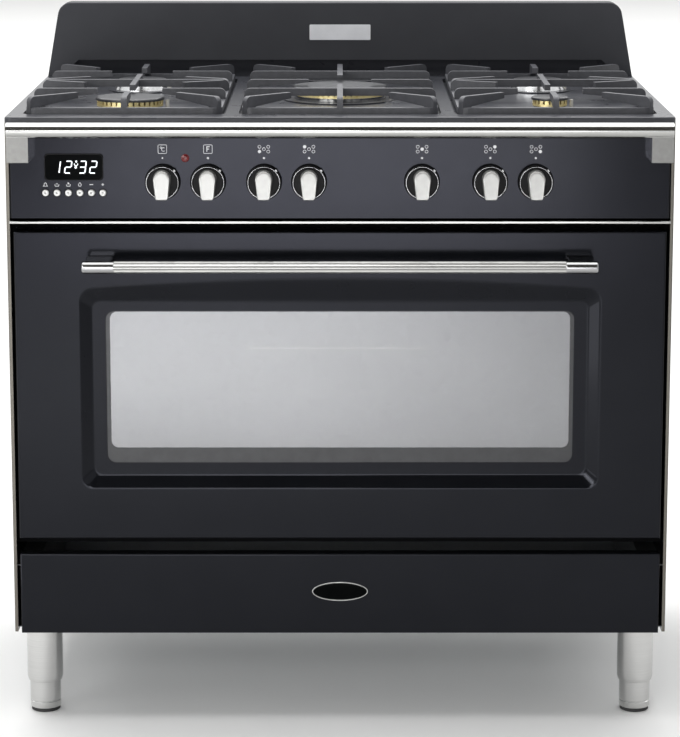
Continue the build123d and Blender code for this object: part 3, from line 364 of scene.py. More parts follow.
# A line of ink or light: a thin raised strip along (x, z) points in mm, standing on the face at y.
def addStroke(bm, points, width, y, finish=0, closed=False, thick=inkHigh):
    count = len(points)
    sections = []
    for k, (x, z) in enumerate(points):
        before = points[k - 1] if closed or k else points[k]
        after = points[(k + 1) % count] if closed or k < count - 1 else points[k]
        runs = [Vector((b[0] - a[0], b[1] - a[1])).normalized()
                for a, b in ((before, points[k]), (points[k], after)) if a != b]
        way = sum(runs, Vector((0, 0))).normalized()
        stretch = 1 / max(0.5, way.dot(runs[0]))
        off = Vector((-way.y, way.x)) * width / 2 * stretch
        sections.append([bm.verts.new(Vector((x + s * off.x, y - d, z + s * off.y)) * mm)
                         for s, d in ((-1, 0), (1, 0), (1, thick), (-1, thick))])
    for k in range(count if closed else count - 1):
        one, two = sections[k], sections[(k + 1) % count]
        for c in range(4):
            n = (c + 1) % 4
            bm.faces.new((one[c], one[n], two[n], two[c])).material_index = finish
    if not closed:
        for section in (sections[0], sections[-1]):
            bm.faces.new(section).material_index = finish


# A dot of ink or light on the face at y.
def addDot(bm, x, z, radius, y):
    addLathe(bm, [(0, 0), (radius, 0), (radius, inkHigh), (0, inkHigh)], (x, y, z), (0, -1, 0), 0, 20)


def arcPoints(x, z, radius, start=0, end=360, steps=20, squash=1.0):
    turn = end - start
    count = steps if turn >= 360 else steps + 1
    angles = [math.radians(start + turn * k / steps) for k in range(count)]
    return [(x + radius * math.cos(a), z + radius * squash * math.sin(a)) for a in angles]


def roundedBox(x, z, width, height, corner, steps=6):
    points = []
    for sx, sz, start in quarters:
        points += arcPoints(x + sx * (width / 2 - corner), z + sz * (height / 2 - corner), corner,
                            start, start + 90, steps)
    return points


# Turns a bmesh into a piece that rides on a body, with sharp edges by angle and weighted normals.
def makePiece(name, bm, body, finishNames, stands=(), sharp=38):
    bmesh.ops.recalc_face_normals(bm, faces=bm.faces)
    mesh = bpy.data.meshes.new(name)
    bm.to_mesh(mesh)
    bm.free()
    for finish in finishNames:
        mesh.materials.append(finishes[finish])
    mesh.shade_smooth()
    mesh.set_sharp_from_angle(angle=math.radians(sharp))
    piece = bpy.data.objects.new(name, mesh)
    scene.collection.objects.link(piece)
    weighted = piece.modifiers.new("flat faces stay flat", "WEIGHTED_NORMAL")
    weighted.keep_sharp = True
    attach(piece, body)
    if stands:
        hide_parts(*stands)


# Makes a pressed or cast copy of a node. Where width is given, the edges that pick() chooses by their ends
# are rounded over. By a face's middle, keep() says whether it stays and finishOf() which finish it gets.
def softenedCopy(node, name, body, finishNames, width=0, pick=None, keep=None, finishOf=None):
    bm = bmesh.new()
    bm.from_mesh(nodes[node].data)
    bmesh.ops.remove_doubles(bm, verts=bm.verts, dist=seam)
    if keep:
        spare = [face for face in bm.faces if not keep(face.calc_center_median() / mm)]
        bmesh.ops.delete(bm, geom=spare, context="FACES")
    bmesh.ops.dissolve_limit(bm, angle_limit=math.radians(evenAngle), verts=bm.verts, edges=bm.edges)
    if width:
        edges = [edge for edge in bm.edges if len(edge.link_faces) == 2
                 and edge.calc_face_angle(0) > math.radians(foldAngle)
                 and pick([vert.co / mm for vert in edge.verts])]
        bmesh.ops.bevel(bm, geom=edges, offset=width * mm, segments=3, profile=0.5, affect="EDGES",
                        clamp_overlap=True, loop_slide=True)
    for face in bm.faces:
        face.material_index = finishOf(face.calc_center_median() / mm) if finishOf else 0
    makePiece(name, bm, body, finishNames, [node])


# Enamelled pressings. The door's is lofted from loops: rim, sloping walls of the sunk frame, window and back.
pressing = {"edge": 2.2, "panelEdge": 1.6, "hobEdge": 2.6, "upstandEdge": 2.0, "sideEdge": 1.4}
doorLow, doorHigh = (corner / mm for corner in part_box("door_panel"))
recess = {"half": 352.5, "low": doorLow.z + 71.5, "high": doorLow.z + 346.5, "arch": 12.8, "corner": 16.0,
          "wall": 15.5, "deep": 9.0, "floorCorner": 12.0, "windowHalf": 318.0, "windowLow": doorLow.z + 105.0,
          "windowHigh": doorLow.z + 316.0, "windowCorner": 12.0, "sheet": 1.0, "slack": 0.3, "rimCorner": 0.4,
          "steps": 10, "archSteps": 24, "notchX": 385.0, "notchHalf": 4.3, "notchDeep": 13.7,
          "backFoot": 1.05, "backEdge": -0.05,
          # (share across the wall, share of its depth)
          "profile": ((-0.17, 0.0), (-0.07, 0.01), (0.0, 0.035), (0.07, 0.09), (0.15, 0.15), (0.85, 0.85),
                      (0.93, 0.915), (1.0, 0.965), (1.07, 0.99), (1.16, 1.0))}
notchEdges = [side * recess["notchX"] + edge * recess["notchHalf"] for side in (-1, 1) for edge in (-1, 1)]


# One loop of points round the door: rounded corners and an arched head, always the same count.
def doorLoop(half, low, high, corner, arch=0.0):
    points = []
    flat = half - corner
    for sx, sz, start in quarters:
        midZ = high - corner if sz > 0 else low + corner
        points += arcPoints(sx * flat, midZ, corner, start, start + 90, recess["steps"])
        if start == 0:
            steps = recess["archSteps"]
            points += [(flat * (1 - 2 * k / steps), high) for k in range(1, steps)]
        if start == 180:
            points += [(flat * x / doorHigh.x, low) for x in notchEdges]
    return [(x, z + arch * max(0, 1 - (x / half) ** 2) if z > (low + high) / 2 else z) for x, z in points]


# A loop on the sloping wall: share is 0 at its front edge and 1 at its foot.
def recessLoop(share):
    inset = recess["wall"] * share
    corner = recess["corner"] + (recess["floorCorner"] - recess["corner"]) * share
    return doorLoop(recess["half"] - inset, recess["low"] + inset, recess["high"] - inset, corner,
                    recess["arch"] * (1 - share))


doorHalf, doorBack, rim, sheet = doorHigh.x, doorHigh.y, pressing["edge"], recess["sheet"]
recessFloor = doorFace + recess["deep"]
sheetBack = doorFace + sheet + recess["slack"]
notchY = doorFace + recess["notchDeep"]
outside = doorLoop(doorHalf, doorLow.z, doorHigh.z, recess["rimCorner"])
inside = doorLoop(doorHalf - sheet, doorLow.z + sheet, doorHigh.z - sheet, recess["rimCorner"])
loops = [(outside, doorBack), (outside, notchY)]
for degrees in (0, 22.5, 45, 67.5, 90):  # rounded rim
    turn = math.radians(degrees)
    inset = rim * (1 - math.cos(turn))
    rimLoop = doorLoop(doorHalf - inset, doorLow.z + inset, doorHigh.z - inset, recess["rimCorner"] + inset)
    loops.append((rimLoop, doorFace + rim * (1 - math.sin(turn))))
loops += [(recessLoop(share), doorFace + recess["deep"] * sink) for share, sink in recess["profile"]]
window = doorLoop(recess["windowHalf"], recess["windowLow"], recess["windowHigh"], recess["windowCorner"])
loops += [(window, recessFloor), (window, recessFloor + sheet),
          (recessLoop(recess["backFoot"]), recessFloor + sheet), (recessLoop(recess["backEdge"]), sheetBack),
          (inside, sheetBack), (inside, notchY), (inside, doorBack)]
bm = bmesh.new()
rings = [[bm.verts.new(Vector((x, y, z)) * mm) for x, z in loop] for loop, y in loops]
firstNotch = next(k for k, (x, z) in enumerate(outside)
                  if z < doorLow.z + 0.01 and abs(x - notchEdges[0]) < 1)
notched = (firstNotch, firstNotch + 2)
for ring, (first, second) in enumerate(zip(rings, rings[1:] + rings[:1])):
    for k in range(len(first)):
        n = (k + 1) % len(first)
        if k not in notched or ring not in (0, len(rings) - 2, len(rings) - 1):
            bm.faces.new((first[k], first[n], second[n], second[k]))
for k in notched:  # cut edges of the two hinge notches in the lower fold
    bm.faces.new((rings[1][k], rings[1][k + 1], rings[-2][k + 1], rings[-2][k]))
    for side in (k, k + 1):
        bm.faces.new((rings[0][side], rings[1][side], rings[-2][side], rings[-1][side]))
makePiece("doorPressing", bm, "door", ["vitreousEnamel"], ["door_panel"])

softenedCopy("drawer_front", "drawerPressing", "drawer", ["vitreousEnamel"],
             pressing["edge"], lambda ends: all(p.y < doorFace + near for p in ends))
fascia = {"half": 440.0, "low": 708.0, "high": 834.0}
softenedCopy("control_panel", "controlFascia", "cabinet", ["vitreousEnamel"],
             pressing["panelEdge"], lambda ends: all(p.y < doorFace + near for p in ends) and any(
                 abs(p.x) > fascia["half"] or p.z < fascia["low"] or p.z > fascia["high"] for p in ends))
upstand = {"faceDeep": 0.2, "edgesAbove": 875.0, "lipBehind": 4.0, "lipBelow": 872.0}
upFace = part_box("upstand")[0].y / mm
# Faces of the flue lip, set back behind the face and below the lip line, take the paler coat of painted
# light.
softenedCopy("upstand", "upstandPressing", "cabinet", ["satinEnamel", "paintedLightLipEnamel"],
             pressing["upstandEdge"], lambda ends: all(
                 p.y < upFace + upstand["faceDeep"] and p.z > upstand["edgesAbove"] for p in ends),
             finishOf=lambda mid: int(mid.y > upFace + upstand["lipBehind"] and mid.z < upstand["lipBelow"]))
hob = {"top": 844.0, "frontFold": 10.5, "sideFold": 439.0}
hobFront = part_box("hob_plate")[0].y / mm
softenedCopy("hob_plate", "hobPressing", "cabinet", ["hobEnamel"],
             pressing["hobEdge"], lambda ends: all(abs(p.z - hob["top"]) < near for p in ends) and (
                 all(p.y < hobFront + hob["frontFold"] for p in ends)
                 or all(abs(p.x) > hob["sideFold"] for p in ends)))
sideSheet = {"outside": 449.9, "bareShare": 0.6}
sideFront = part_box("side_panels")[0].y / mm
softenedCopy("side_panels", "sidePressings", "cabinet", ["vitreousEnamel", "groundSheetEdge"],
             pressing["sideEdge"], lambda ends: all(
                 p.y < sideFront + near and abs(p.x) > sideSheet["outside"] for p in ends),
             finishOf=lambda mid: int(mid.y < sideFront + pressing["sideEdge"] * sideSheet["bareShare"]))
bracket = {"edge": 0.8, "edgesBelow": 819.0, "clampAbove": 819.4}
softenedCopy("rail_brackets", "railBrackets", "cabinet", ["blastedZinc", "polishedStainless"],
             bracket["edge"], lambda ends: all(p.z < bracket["edgesBelow"] for p in ends),
             finishOf=lambda mid: int(mid.z > bracket["clampAbove"]))
print("pressings rounded")

# Printed border on the outer glass, deeper along the sill.
border = {"width": 640.0, "low": 366.0, "high": 581.0, "corner": 14.0, "side": 7.4, "sill": 23.0, "head": 3.0,
          "innerCorner": 10.0, "lift": 0.02, "thick": 0.1, "steps": 10}
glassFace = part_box("door_outer_glass")[0].y / mm
outerRim = (0, border["low"], border["high"], border["corner"])
innerRim = (border["side"], border["low"] + border["sill"], border["high"] - border["head"],
            border["innerCorner"])
bm = bmesh.new()
rims = []
for inset, low, high, corner in (outerRim, innerRim):
    outline = roundedBox(0, (low + high) / 2, border["width"] - 2 * inset, high - low, corner,
                         border["steps"])
    rims.append([[bm.verts.new(Vector((x, glassFace - reach, z)) * mm) for x, z in outline]
                 for reach in (border["lift"], border["thick"])])
(outBack, outFront), (inBack, inFront) = rims
for k in range(len(outBack)):
    n = (k + 1) % len(outBack)
    for a, b in ((outFront, inFront), (inFront, inBack), (inBack, outBack), (outBack, outFront)):
        bm.faces.new((a[k], a[n], b[n], b[k]))
makePiece("glassBorder", bm, "door", ["bakedFrit"])
print("glass border printed")

# Nodes that keep their own shape get a finish and, where the real edge is broken, a fine bevel.
keptNodes = {
    # The front frame's near-black coat is partly painted shade for the shadow in the joints.
    "blackGroundCoat": {"front_frame": 0},
    "galvanisedSheet": {"back_panel": 0, "base_panel": 0, "drawer_box": 0, "drawer_runners": 0,
                        "hinge_arms": 0.3, "hinge_bodies": 0.3, "fan_motor": 0.5},
    "fleckedOvenEnamel": {"oven_cavity": 0, "fan_cover": 0, "door_inner_frame": 0},
    "polishedStainless": {"front_rail": 0, "panel_trim": 0.7, "oven_shelf": 0, "shelf_racks": 0,
                          "burner_cups": 0.4},
    "satinStainless": {"oven_fan": 0, "heating_elements": 0},
    "turnedStainless": {"leg_sleeves": 0.8},
    "mattEnamelledIron": {"left_grate": 0.9, "centre_grate": 0.9, "right_grate": 0.9},
    "capEnamel": {"burner_caps": 0},
    "machinedAluminium": {"burner_pipes": 0},
    "turnedBrass": {"gas_valves": 0.4},
    "zincPlatedPipe": {"gas_manifold": 0},
    "glazedCeramic": {"spark_electrodes": 0},
    "smokedAcrylic": {"timer_display": 0.5},
    "mouldedSwitchBlack": {"oven_switches": 0.5, "terminal_box": 1.0},
    "coatedOvenGlass": {"door_outer_glass": 0},
    "clearFloatGlass": {"door_inner_glass": 0},
    "siliconeSeal": {"oven_gasket": 0},
}
bevel = {"even": 1.5, "fold": 40, "segments": 2}
for finish, members in keptNodes.items():
    for node, width in members.items():
        piece = nodes[node]
        piece.data.materials.clear()
        piece.data.materials.append(finishes[finish])
        if width:
            weld = piece.modifiers.new("weld seams", "WELD")
            weld.merge_threshold = seam
            flat = piece.modifiers.new("join flat faces", "DECIMATE")
            flat.decimate_type, flat.angle_limit = "DISSOLVE", math.radians(bevel["even"])
            edge = piece.modifiers.new("broken edges", "BEVEL")
            edge.width, edge.segments, edge.limit_method = width * mm, bevel["segments"], "ANGLE"
            edge.angle_limit, edge.use_clamp_overlap = math.radians(bevel["fold"]), True
            piece.modifiers.new("flat faces stay flat", "WEIGHTED_NORMAL")
print("kept nodes dressed:", sum(len(m) for m in keptNodes.values()))

# Flame rings: brass teeth on the front and centre burners; the rear ones sit in bright sloping collars.
collar = {"rearRow": 60, "base": 840.2, "top": 851.4, "slope": 5.0, "x": (-292.0, 292.0), "y": 130.25,
          "radius": 34.0}
softenedCopy("burner_rings", "brassFlameRings", "cabinet", ["turnedBrass"],
             keep=lambda mid: mid.y < collar["rearRow"])
softenedCopy("burner_rings", "alloyFlameRings", "cabinet", ["machinedAluminium"],
             keep=lambda mid: mid.y >= collar["rearRow"])
bm = bmesh.new()
for x in collar["x"]:
    low, high, r = collar["base"], collar["top"], collar["radius"]
    wide = r + collar["slope"] + 1
    loop = [(wide, low), (wide, low + 1.0), (r + 1.5, high - 2.2), (r + 0.6, high - 0.8),
            (r + 0.1, high - 0.4), (r + 0.1, low)]
    addLathe(bm, [*loop, loop[0]], (x, collar["y"], 0), (0, 0, 1), 0, 72)
makePiece("burnerCollars", bm, "cabinet", ["machinedAluminium"])
print("flame rings split by metal")

# Knobs: black skirt, chrome ring, satin lever with a sloping nose, and a white ink mark on the skirt's upper
# right that is a painted highlight.
knob = {"skirtBack": -1.5, "skirtHigh": 11.0, "skirtWide": 24.2, "skirtFace": 22.8, "ringOut": 22.0,
        "ringIn": 20.8, "ringHigh": 1.0, "leverHigh": 20.0, "leverTop": 17.7, "leverRound": 11.6,
        "leverLow": 21.3, "leverLowHalf": 8.5, "leverWaist": 12.0, "noseDrop": 7.0, "glintAngle": 45,
        "glintWide": 3.0, "glintSunk": 4.0, "glintThick": 4.2, "spindle": 3.0, "spindleIn": 7.0}
wide, faceWide, ringOut, ringIn = (knob[key] for key in ("skirtWide", "skirtFace", "ringOut", "ringIn"))
skirtBack = knob["skirtBack"]
face = skirtBack - knob["skirtHigh"]
knobJoints = {name[:-len("_turn")]: joint for name, joint in joints.items() if name.endswith("_turn")}
for kind, joint in knobJoints.items():
    x, y, z = (value / mm for value in joint["pos_m"])
    bm = bmesh.new()
    addLathe(bm, [(0, -skirtBack), (wide - 0.5, -skirtBack), (wide, -skirtBack + 0.5),
                  (faceWide + 0.5, -face - 0.9), (faceWide - 0.2, -face - 0.2), (faceWide - 0.9, -face),
                  (ringIn - 0.5, -face), (ringIn - 1.2, -face - 0.8), (0, -face - 0.8)],
             (x, y, z), (0, -1, 0), 0, 72)
    high = -face + knob["ringHigh"]
    addLathe(bm, [(ringIn, -face - 0.4), (ringIn, high - 0.4), (ringIn + 0.5, high), (ringOut - 0.6, high),
                  (ringOut, high - 0.5), (ringOut, -face - 0.4), (ringIn, -face - 0.4)],
             (x, y, z), (0, -1, 0), 1, 72)
    addLathe(bm, [(0, -knob["spindleIn"]), (knob["spindle"], -knob["spindleIn"]),
                  (knob["spindle"], -skirtBack + 1), (0, -skirtBack + 1)], (x, y, z), (0, -1, 0), 2, 24)
    shoulder = z + knob["leverTop"] - knob["leverRound"]
    low, half, waist = z - knob["leverLow"], knob["leverLowHalf"], z - knob["leverWaist"]
    outline = arcPoints(x, shoulder, knob["leverRound"], -6, 186, 22)
    outline += [(x - half - 0.9, waist), (x - half, low + 2), (x - half + 1.6, low), (x, low - 0.3),
                (x + half - 1.6, low), (x + half, low + 2), (x + half + 0.9, waist)]
    leverFoot = y + face + 0.6

    def noseSlope(pointZ, level, foot=leverFoot, z=z):
        share = min(1, max(0, (pointZ - z - 1) / (knob["leverTop"] - 1)))
        return foot + (level - foot) * (1 - knob["noseDrop"] / knob["leverHigh"] * share * share)

    tip = y + face - knob["leverHigh"]
    addPad(bm, outline, [(leverFoot, -0.2), (leverFoot - 1.5, 0), (tip + 3, 0.2), (tip + 1.2, 0.5),
                         (tip + 0.4, 1.0), (tip, 1.8), (tip + 0.3, 4.0)], 2, noseSlope)
    # The white mark at 45 degrees is a painted highlight where the skirt's edge catches the light.
    turn = math.radians(knob["glintAngle"])
    paintedGlint = [(x + r * math.sin(turn), z + r * math.cos(turn)) for r in (ringOut + 0.1, wide - 0.1)]
    addStroke(bm, paintedGlint, knob["glintWide"], y + face + knob["glintSunk"], 3, thick=knob["glintThick"])
    makePiece(kind + "Knob", bm, kind + "_control",
              ["mouldedBlackNylon", "brightChrome", "satinChrome", "printedInk"],
              [kind + "_knob"])
print("knobs made")

# Timer buttons: white caps with a dimple, each in a thin black ring on the panel.
button = {"radius": 4.3, "proud": 2.4, "dimple": 1.6, "flange": 5.7, "flangeFront": 1.4, "flangeBack": 2.4,
          "stem": 2.5, "length": 9.6, "collarIn": 4.7, "collarOut": 5.9, "collarHigh": 0.3}
r, p, flange, stem, length = (button[key] for key in ("radius", "proud", "flange", "stem", "length"))
front, back = button["flangeFront"], button["flangeBack"]
capProfile = [(button["dimple"], p), (r - 0.9, p), (r - 0.25, p - 0.3), (r, p - 1), (r, -front),
              (flange, -front), (flange, -back), (stem, -back), (stem, -length), (0, -length)]
collarHigh = button["collarHigh"]
collarProfile = [(button["collarIn"], 0), (button["collarIn"], collarHigh),
                 (button["collarOut"] - collarHigh, collarHigh), (button["collarOut"], 0),
                 (button["collarIn"], 0)]
for k in range(1, 7):
    node = f"timer_button_{k}"
    low, high = (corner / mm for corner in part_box(node))
    middle = ((low.x + high.x) / 2, doorFace, (low.z + high.z) / 2)
    bm = bmesh.new()
    addLathe(bm, [(0, p - 0.9), (0.8, p - 0.8), (button["dimple"], p)], middle, (0, -1, 0), 1, 32)
    addLathe(bm, capProfile, middle, (0, -1, 0), 0, 32)
    bmesh.ops.remove_doubles(bm, verts=bm.verts, dist=1e-7)
    makePiece(f"timerButton{k}", bm, f"button_{k}", ["mouldedWhiteAbs", "satinChrome"],
              [node])
    bm = bmesh.new()
    addLathe(bm, collarProfile, middle, (0, -1, 0), 0, 32)
    makePiece(f"timerButtonCollar{k}", bm, "cabinet", ["mouldedBlackNylon"])
print("timer buttons made")

# Red lamp: a domed lens on its stem.
lampLens = {"radius": 5.5, "proud": 2.0, "stem": 4.4, "length": 14.0, "rim": 0.5, "steps": 9}
low, high = (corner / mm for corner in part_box("indicator_lamp"))
bm = bmesh.new()
domeHigh = lampLens["proud"] - lampLens["rim"]
dome = [(lampLens["radius"] * math.cos(a), lampLens["rim"] + domeHigh * math.sin(a))
        for a in (math.radians(90 * k / lampLens["steps"]) for k in range(lampLens["steps"]))]
addLathe(bm, [(0, -lampLens["length"]), (lampLens["stem"], -lampLens["length"]), (lampLens["stem"], 0),
              (lampLens["radius"], 0), *dome, (0, lampLens["proud"])],
         ((low.x + high.x) / 2, doorFace, (low.z + high.z) / 2), (0, -1, 0), 0, 40)
makePiece("redLampLens", bm, "cabinet", ["redLens"], ["indicator_lamp"])
print("lamp made")

# Clock: bezel, slanted seven-segment digits, and two dots with an arc between the hours and the minutes.
clock = {"x": -357.0, "z": 777.0, "width": 79.0, "height": 36.0, "corner": 6.0, "bezelIn": 1.2, "bezel": 1.0,
         "bezelHigh": 0.35, "digitHigh": 16.0, "digitWide": 8.0, "line": 1.5, "slant": 0.14, "gap": 0.09,
         "uprightGap": 0.6, "places": {-18.6: "1", -7.3: "2", 12.0: "3", 26.3: "2"}, "colon": 2.8,
         "dots": {7.6: 1.3, -0.2: 1.6}, "dotSlant": 0.1, "arcX": 0.4, "arcZ": 4.2, "arc": 2.3, "arcLine": 0.9}
segments = {"a": ((0, 1), (1, 1)), "b": ((1, 1), (1, 0.5)), "c": ((1, 0.5), (1, 0)), "d": ((0, 0), (1, 0)),
            "e": ((0, 0), (0, 0.5)), "f": ((0, 0.5), (0, 1)), "g": ((0, 0.5), (1, 0.5))}
lit = {"1": "bc", "2": "abged", "3": "abgcd"}
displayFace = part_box("timer_display")[0].y / mm
bm = bmesh.new()
for offset, digit in clock["places"].items():
    for letter in lit[digit]:
        ends = []
        (x0, z0), (x1, z1) = segments[letter]
        gapX = clock["gap"] * (x1 - x0)
        gapZ = clock["gap"] * (z1 - z0) * clock["uprightGap"]
        for u, v in ((x0 + gapX, z0 + gapZ), (x1 - gapX, z1 - gapZ)):
            up = (v - 0.5) * clock["digitHigh"]
            across = (u - 0.5) * clock["digitWide"] if digit != "1" else 0
            ends.append((clock["x"] + offset + across + clock["slant"] * up, clock["z"] + up))
        addStroke(bm, ends, clock["line"], displayFace)
colonX = clock["x"] + clock["colon"]
for reach, size in clock["dots"].items():
    addDot(bm, colonX + clock["dotSlant"] * reach, clock["z"] + reach, size, displayFace)
addStroke(bm, arcPoints(colonX + clock["arcX"], clock["z"] + clock["arcZ"], clock["arc"], 160, 380, 14),
          clock["arcLine"], displayFace)
makePiece("clockDigits", bm, "cabinet", ["litDigits"])
bm = bmesh.new()
outer = roundedBox(clock["x"], clock["z"], clock["width"] - clock["bezelIn"],
                   clock["height"] - clock["bezelIn"], clock["corner"])
addStroke(bm, outer, clock["bezel"], displayFace, 0, True, clock["bezelHigh"])
makePiece("clockBezel", bm, "cabinet", ["mouldedBlackNylon"])
print("clock made")

# Printed symbols on the control panel.
symbols = {"line": 0.7, "fine": 0.6, "bold": 1.0, "sign": 1.1, "high": 801.0, "dotHigh": 789.0, "dot": 1.5,
           "smallDot": 0.75, "box": 11.5, "boxCorner": 1.4, "circle": 2.0, "disc": 2.3, "spread": 5.9,
           "rowGap": 3.2, "signHigh": 753.2, "lidHigh": 1.5, "lidShare": 0.4}
burnerSpots = {"front_left": (-1, -1), "rear_left": (-1, 1), "centre": (0, 0), "rear_right": (1, 1),
               "front_right": (1, -1)}
bm = bmesh.new()


def inkLine(points, closed=False, width=symbols["line"]):
    addStroke(bm, points, width, doorFace, 0, closed)


for kind, joint in knobJoints.items():
    x, z = joint["pos_m"][0] / mm, symbols["high"]
    dot = symbols["dot"] * (symbols["smallDot"] if kind == "thermostat" else 1)
    addDot(bm, x, symbols["dotHigh"], dot, doorFace)
    if kind in burnerSpots:
        for spot in burnerSpots.values():
            place = (x + spot[0] * symbols["spread"], z + spot[1] * symbols["rowGap"])
            if spot == burnerSpots[kind]:
                addDot(bm, *place, symbols["disc"], doorFace)
            else:
                inkLine(arcPoints(*place, symbols["circle"], steps=18), True, symbols["fine"])
    else:
        inkLine(roundedBox(x, z, symbols["box"], symbols["box"], symbols["boxCorner"]), True, symbols["fine"])
        if kind == "thermostat":  # degree sign and C
            inkLine(arcPoints(x - 2.0, z + 2.2, 1.0, steps=14), True, 0.5)
            inkLine(arcPoints(x + 1.4, z - 0.4, 2.4, 50, 310, 16))
        else:  # F
            inkLine([(x - 1.4, z - 3.4), (x - 1.4, z + 3.2), (x + 2.4, z + 3.2)], False, symbols["bold"])
            inkLine([(x - 1.4, z + 0.1), (x + 1.7, z + 0.1)], False, symbols["bold"])

# Signs over the timer buttons from the left: bell, two pots with lids, arc with an arrow, minus, plus.
pot = [("line", False, ((-2.8, 0.2), (-2.2, -2.2), (2.2, -2.2), (2.8, 0.2))),
       ("fine", False, ((-1.6, 0.8), (1.6, 0.8)))]
buttonSigns = (  # each line's width, whether it closes, and its points from the sign's middle
    [("line", True, ((-2.8, -2.2), (-1.8, -1), (-1.5, 1.2), (0, 2.6), (1.5, 1.2), (1.8, -1), (2.8, -2.2)))],
    pot,
    pot,
    [("line", False, arcPoints(0, -0.4, 2.0, 130, 410, 16)),
     ("line", False, ((-1.2, 1.2), (0, 2.8), (1.2, 1.2)))],
    [("sign", False, ((-2.4, 0), (2.4, 0)))],
    [("sign", False, ((-1.7, 0), (1.7, 0))), ("sign", False, ((0, -1.7), (0, 1.7)))],
)
lids = {2: 0.4, 3: 0.9}
for k, lines in enumerate(buttonSigns, 1):
    x, z = sum(corner.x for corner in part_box(f"timer_button_{k}")) / 2 / mm, symbols["signHigh"]
    for width, closed, points in lines:
        inkLine([(x + across, z + up) for across, up in points], closed, symbols[width])
    if k in lids:
        addDot(bm, x, z + symbols["lidHigh"] + lids[k] * symbols["lidShare"], lids[k], doorFace)
makePiece("panelSymbols", bm, "cabinet", ["printedInk"])
print("symbols printed")

# Door handle: fluted bar between two smooth satin ends on posts.
handle = {"y": -332.75, "z": 649.0, "radius": 8.5, "barHalf": 302.0, "half": 344.0, "flutes": 8,
          "fluteDeep": 1.0, "postWide": 38.0, "postHigh": 15.5, "postCorner": 3.0, "postInset": 2.0}
bm = bmesh.new()
axisPoint = (0, handle["y"], handle["z"])
r, barEnd, outer = handle["radius"], handle["barHalf"], handle["half"]
inner = barEnd - 1
addLathe(bm, [(r - 1.6, -barEnd), (r - 0.3, -barEnd), (r - 0.3, barEnd), (r - 1.6, barEnd)],
         axisPoint, (1, 0, 0), 0, 240, (handle["flutes"], handle["fluteDeep"]))
for side in (-1, 1):
    addLathe(bm, [(0, inner), (r - 0.7, inner), (r, inner + 1.2), (r, outer - 2.2), (r - 0.6, outer - 0.8),
                  (r - 2.0, outer - 0.1), (0, outer)], axisPoint, (side, 0, 0), 1, 64)
    postMid = side * (outer - handle["postInset"] - handle["postWide"] / 2)
    outline = roundedBox(postMid, handle["z"], handle["postWide"], handle["postHigh"],
                         handle["postCorner"], 4)
    addPad(bm, outline, [(doorFace, 0), (doorFace - 0.8, 0), (doorFace - 6, 1.2), (handle["y"] + 1, 1.6)], 1)
makePiece("doorHandleBar", bm, "door", ["polishedStainless", "satinStainless"],
          ["door_handle"], sharp=50)
print("handle made")

# Feet: turned steel tube with a groove and a chamfer, on a rubber pad.
foot = {"radius": 21.5, "top": 88.0, "padRadius": 20.0, "padHigh": 5.0, "groove": 14.0, "padGap": 0.02}
r, g, top, tubeLow, padWide = (foot[key] for key in ("radius", "groove", "top", "padHigh", "padRadius"))
padTop = tubeLow - foot["padGap"]
for corner in ("front_left", "front_right", "rear_left", "rear_right"):
    low, high = (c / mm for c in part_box(corner + "_foot"))
    centre = ((low.x + high.x) / 2, (low.y + high.y) / 2, 0)
    bm = bmesh.new()
    addLathe(bm, [(0, tubeLow), (r - 1.8, tubeLow), (r - 0.4, tubeLow + 0.6), (r, tubeLow + 1.8), (r, g),
                  (r - 0.6, g + 0.5), (r - 0.6, g + 1.5), (r, g + 2), (r, top - 1), (r - 1, top), (0, top)],
             centre, (0, 0, 1), 0, 64)
    addLathe(bm, [(0, 0.0), (padWide - 1.2, 0.0), (padWide, 1.0), (padWide, padTop), (0, padTop)],
             centre, (0, 0, 1), 1, 64)
    makePiece("".join(w.title() if k else w for k, w in enumerate(corner.split("_"))) + "FootTube", bm,
              corner + "_leg_foot", ["turnedStainless", "mouldedRubber"], [corner + "_foot"])
print("feet made")

# Bare plate on the upstand.
plate = {"width": 93.0, "height": 23.5, "corner": 1.5, "z": 912.0, "thick": 1.0}
bm = bmesh.new()
addPad(bm, roundedBox(0, plate["z"], plate["width"], plate["height"], plate["corner"], 4),
       [(upFace, 0), (upFace - plate["thick"] + 0.3, 0), (upFace - plate["thick"], 0.4)])
makePiece("upstandPlate", bm, "cabinet", ["anodisedPlate"])

# Bare oval on the drawer front: a chrome rim round a black field.
oval = {"width": 77.0, "height": 27.0, "z": 188.0, "rim": 1.4, "steps": 72}
bm = bmesh.new()
for inset, finish, levels in (
        (0, 0, ((0, 0), (1.2, 0.1), (1.5, 0.5), (1.5, 1.1), (1.1, 1.5))),
        (oval["rim"], 1, ((0.8, 0), (1.2, 0.1), (1.45, 2.5), (1.6, 6)))):
    outline = arcPoints(0, oval["z"], oval["width"] / 2 - inset, steps=oval["steps"],
                        squash=(oval["height"] - 2 * inset) / (oval["width"] - 2 * inset))
    addPad(bm, outline, [(doorFace - proud, narrower) for proud, narrower in levels], finish)
makePiece("drawerOval", bm, "drawer", ["satinChrome", "smokedAcrylic"])
print("plates made")

# Pan-head screws on the back.
screw = {"head": 4.0, "high": 1.8, "socket": 1.6, "socketDeep": 0.8, "columns": (-405, -200, 0, 200, 405),
         "rows": (150, 815)}
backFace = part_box("back_panel")[1].y / mm
h, p, socketFloor = screw["head"], screw["high"], screw["high"] - screw["socketDeep"]
bm = bmesh.new()
for x in screw["columns"]:
    for z in screw["rows"]:
        addLathe(bm, [(0, 0), (h, 0), (h, p * 0.45), (h - 0.5, p * 0.8), (h - 1.3, p), (screw["socket"], p),
                      (1.0, socketFloor), (0, socketFloor)], (x, backFace, z), (0, 1, 0), 0, 24)
makePiece("casingScrews", bm, "cabinet", ["zincPlatedPipe"])
print("screws made")

